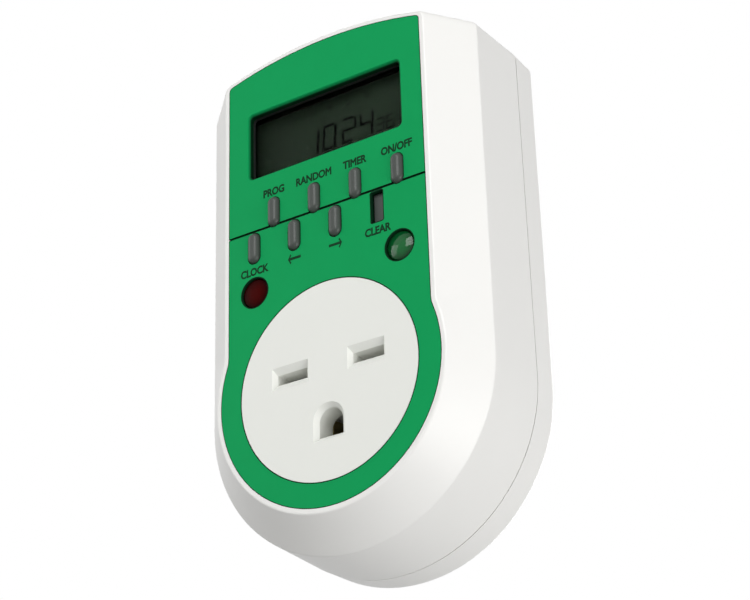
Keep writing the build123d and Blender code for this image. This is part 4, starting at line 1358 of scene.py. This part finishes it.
@dataclass
class Electronics(Assembly):
    """Both boards with their parts, solder beads, chip legs and wires. Sizes are in millimetres."""

    finishes: Tuple[Tuple[str, Finish], ...] = (
        ("control_board", MASK), ("power_board", MASK), ("clock_chip", CHIP_BLACK),
        ("clock_crystal", CAN), ("backup_cell", CAN), ("relay", RELAY_BLUE),
        ("film_capacitor", FILM_YELLOW), ("smoothing_capacitor", SLEEVE), ("varistor", DIP_BLUE),
        ("fuse", CERAMIC), ("rectifier_diodes", CHIP_BLACK), ("dropper_resistor", CERAMIC),
        ("board_link", RIBBON), ("feed_lead", WIRE_BLACK), ("switched_lead", WIRE_BROWN),
        ("return_lead", WIRE_BLACK), ("control_board_screws", ZINC), ("power_board_screws", ZINC),
    )
    legs_a_side: int = 10
    leg_pitch: float = 0.8
    leg_size: Triple = (1.1, 0.12, 0.32)
    leg_reach: float = 0.45
    bead_size: Triple = (1.9, 0.9, 1.9)
    bead_inset: float = 0.12
    widest_inset_part: float = 12.0
    soldered: Tuple[str, ...] = (
        "relay", "film_capacitor", "smoothing_capacitor", "varistor", "fuse", "dropper_resistor",
    )

    def dress(self) -> None:
        """Finishes the boards and adds what stands on them."""
        super().dress()
        self._chip_legs()
        self._solder()

    def _chip_legs(self) -> None:
        """Sets legs along the four sides of the clock chip."""
        low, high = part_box("clock_chip")
        middle = (low + high) / 2 / MM
        reach = (high.x - low.x) / 2 / MM + self.leg_reach
        level = low.y / MM + self.leg_size[1] / 2
        legs = Repeat("chip_legs", Bit.LEG, self.leg_size)
        for i in range(self.legs_a_side):
            along = (i - (self.legs_a_side - 1) / 2) * self.leg_pitch
            for side in (-1, 1):
                legs.add(middle.x + side * reach, level, middle.z + along)
                legs.add(middle.x + along, level, middle.z + side * reach, 90)
        legs.build(TIN, CASE, "cans")

    def _solder(self) -> None:
        """Sets beads on the back of the power board, under its parts' legs."""
        _, board_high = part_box("power_board")
        beads = Repeat("power_board_solder", Bit.BEAD, self.bead_size)
        for node in self.soldered:
            low, high = (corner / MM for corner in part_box(node))
            inset = min(high.x - low.x, self.widest_inset_part) * self.bead_inset
            for x in (low.x + inset, high.x - inset):
                beads.add(x, board_high.y / MM, (low.z + high.z) / 2)
        beads.build(TIN, CASE, "cans")


@dataclass
class Plug(Assembly):
    """Two flat blades and the round earth pin."""

    finishes: Tuple[Tuple[str, Finish], ...] = (
        ("line_blade_left", NICKEL), ("line_blade_right", NICKEL), ("ground_pin", PIN_NICKEL),
    )


# ---------------------------------------------------------------------------- studio
@dataclass
class Studio:
    """Pale floor, even world, soft lamps and the camera.

    Sizes are in metres, the sensor and the floor's clouds in millimetres and angles in degrees."""

    focal_pixels: float = 2006.29
    frame_width: int = 750
    sensor: float = 36.0
    clip_start: float = 0.01
    azimuth: float = 33.268
    elevation: float = -25.694
    roll: float = -1.802
    station: Triple = (0.205928, -0.326803, -0.159867)
    floor_half: float = 4.0
    floor_drop: float = 1.0
    floor_tones: Tuple[Colour, Colour] = (srgb(233, 233, 232), srgb(238, 238, 237))
    floor_cloud: float = 120.0
    floor_roughness: float = 0.7
    glow_colour: Colour = (0.9, 0.9, 0.9)
    glow_share: float = 0.75
    fill_colour: Colour = (0.96, 0.98, 1.0)
    fill_strength: float = 0.12
    aim: Triple = (0, -0.016, 0.02)
    lamp_size: float = 0.6
    lamps: Tuple[Tuple[str, Triple, float], ...] = (
        ("key_lamp", (0.15, -0.95, 0.62), 8.1),
        ("left_lamp", (-0.9, -0.55, 0.35), 2.6),
        ("side_lamp", (1.0, -0.15, -0.3), 4.1),
        ("low_lamp", (0.85, -0.4, -0.55), 4.3),
        ("back_lamp", (-0.1, 1.1, 0.2), 5.0),
    )

    def build(self) -> None:
        """Builds the whole studio."""
        self._camera()
        self._floor()
        self._world()
        for name, place, power in self.lamps:
            self._lamp(name, place, power)

    def _camera(self) -> None:
        """Sets the camera at its calibrated station."""
        turn, lift, bank = (math.radians(angle) for angle in (self.azimuth, self.elevation, self.roll))
        back = Vector((math.sin(turn) * math.cos(lift), -math.cos(turn) * math.cos(lift), math.sin(lift)))
        right = (-back).cross(Vector((0, 0, 1))).normalized()
        up = right.cross(-back)
        banked_right = right * math.cos(bank) + up * math.sin(bank)
        banked_up = up * math.cos(bank) - right * math.sin(bank)
        data = bpy.data.cameras.new("camera")
        data.sensor_fit = "HORIZONTAL"
        data.sensor_width = self.sensor
        data.lens = self.focal_pixels * self.sensor / self.frame_width
        data.clip_start = self.clip_start
        axes = Matrix((banked_right, banked_up, back)).transposed().to_4x4()
        bpy.context.scene.camera = placed("camera", data, Matrix.Translation(self.station) @ axes)

    def _floor(self) -> None:
        """Lays a pale floor well below the object, which glows for the camera and in reflections."""
        half, level = self.floor_half, -self.floor_drop
        corners = [(-half, -half, level), (half, -half, level), (half, half, level), (-half, half, level)]
        mesh = shape(corners, [(0, 1, 2, 3)])
        shade = Shade("studio_floor")
        cloud = shade.noise(self.floor_cloud, Detail.CLOUDY)
        shade.finish(Base_Color=shade.blend(cloud, *self.floor_tones), Roughness=self.floor_roughness)
        glow = shade.value("ShaderNodeEmission", "Emission", {"Color": self.glow_colour, "Strength": 1.0})
        mixed = shade.value("ShaderNodeMixShader", "Shader", {
            0: shade.ray("Is Camera Ray", "Is Glossy Ray") * self.glow_share,
            1: Value(shade, shade.surface.outputs["BSDF"]),
            2: glow,
        })
        shade.feed(shade.output.inputs["Surface"], mixed)
        mesh.materials.append(shade.material)
        placed("floor", mesh)

    def _world(self) -> None:
        """Makes an even pale world that shows white to the camera, in reflections and through panes."""
        world = bpy.data.worlds.new("studio")
        world.use_nodes = True
        world.node_tree.nodes.clear()
        graph = Graph(world.node_tree)
        fill, white = (
            graph.value("ShaderNodeBackground", "Background", {"Color": colour, "Strength": strength})
            for colour, strength in ((self.fill_colour, self.fill_strength), ((1, 1, 1), 1.0)))
        seen = graph.ray("Is Camera Ray", "Is Glossy Ray", "Is Transmission Ray")
        mixed = graph.value("ShaderNodeMixShader", "Shader", {0: seen, 1: fill, 2: white})
        graph.node("ShaderNodeOutputWorld", {"Surface": mixed})
        bpy.context.scene.world = world

    def _lamp(self, name: str, place: Triple, power: float) -> None:
        """Sets a soft square lamp that faces the object's middle.

        Args:
            name: The lamp's name.
            place: Where it stands, in metres.
            power: Its power in watts.
        """
        data = bpy.data.lights.new(name, "AREA")
        data.shape = "SQUARE"
        data.size = self.lamp_size
        data.energy = power
        aim = Vector(self.aim) - Vector(place)
        placed(name, data, Matrix.Translation(place) @ aim.to_track_quat("-Z", "Y").to_matrix().to_4x4())


def main() -> None:
    """Builds the sub-assemblies in order."""
    logging.basicConfig(level=logging.INFO, format="%(name)s: %(message)s")
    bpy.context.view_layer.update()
    for assembly in (Casing(), FacePlate(), Outlet(), Display(), Keypad(), Lamps(), Electronics(), Plug()):
        LOG.info("dressing %s", type(assembly).__name__)
        assembly.dress()
    Studio().build()
    bpy.context.scene.view_settings.view_transform = "Standard"


if __name__ == "__main__":
    main()
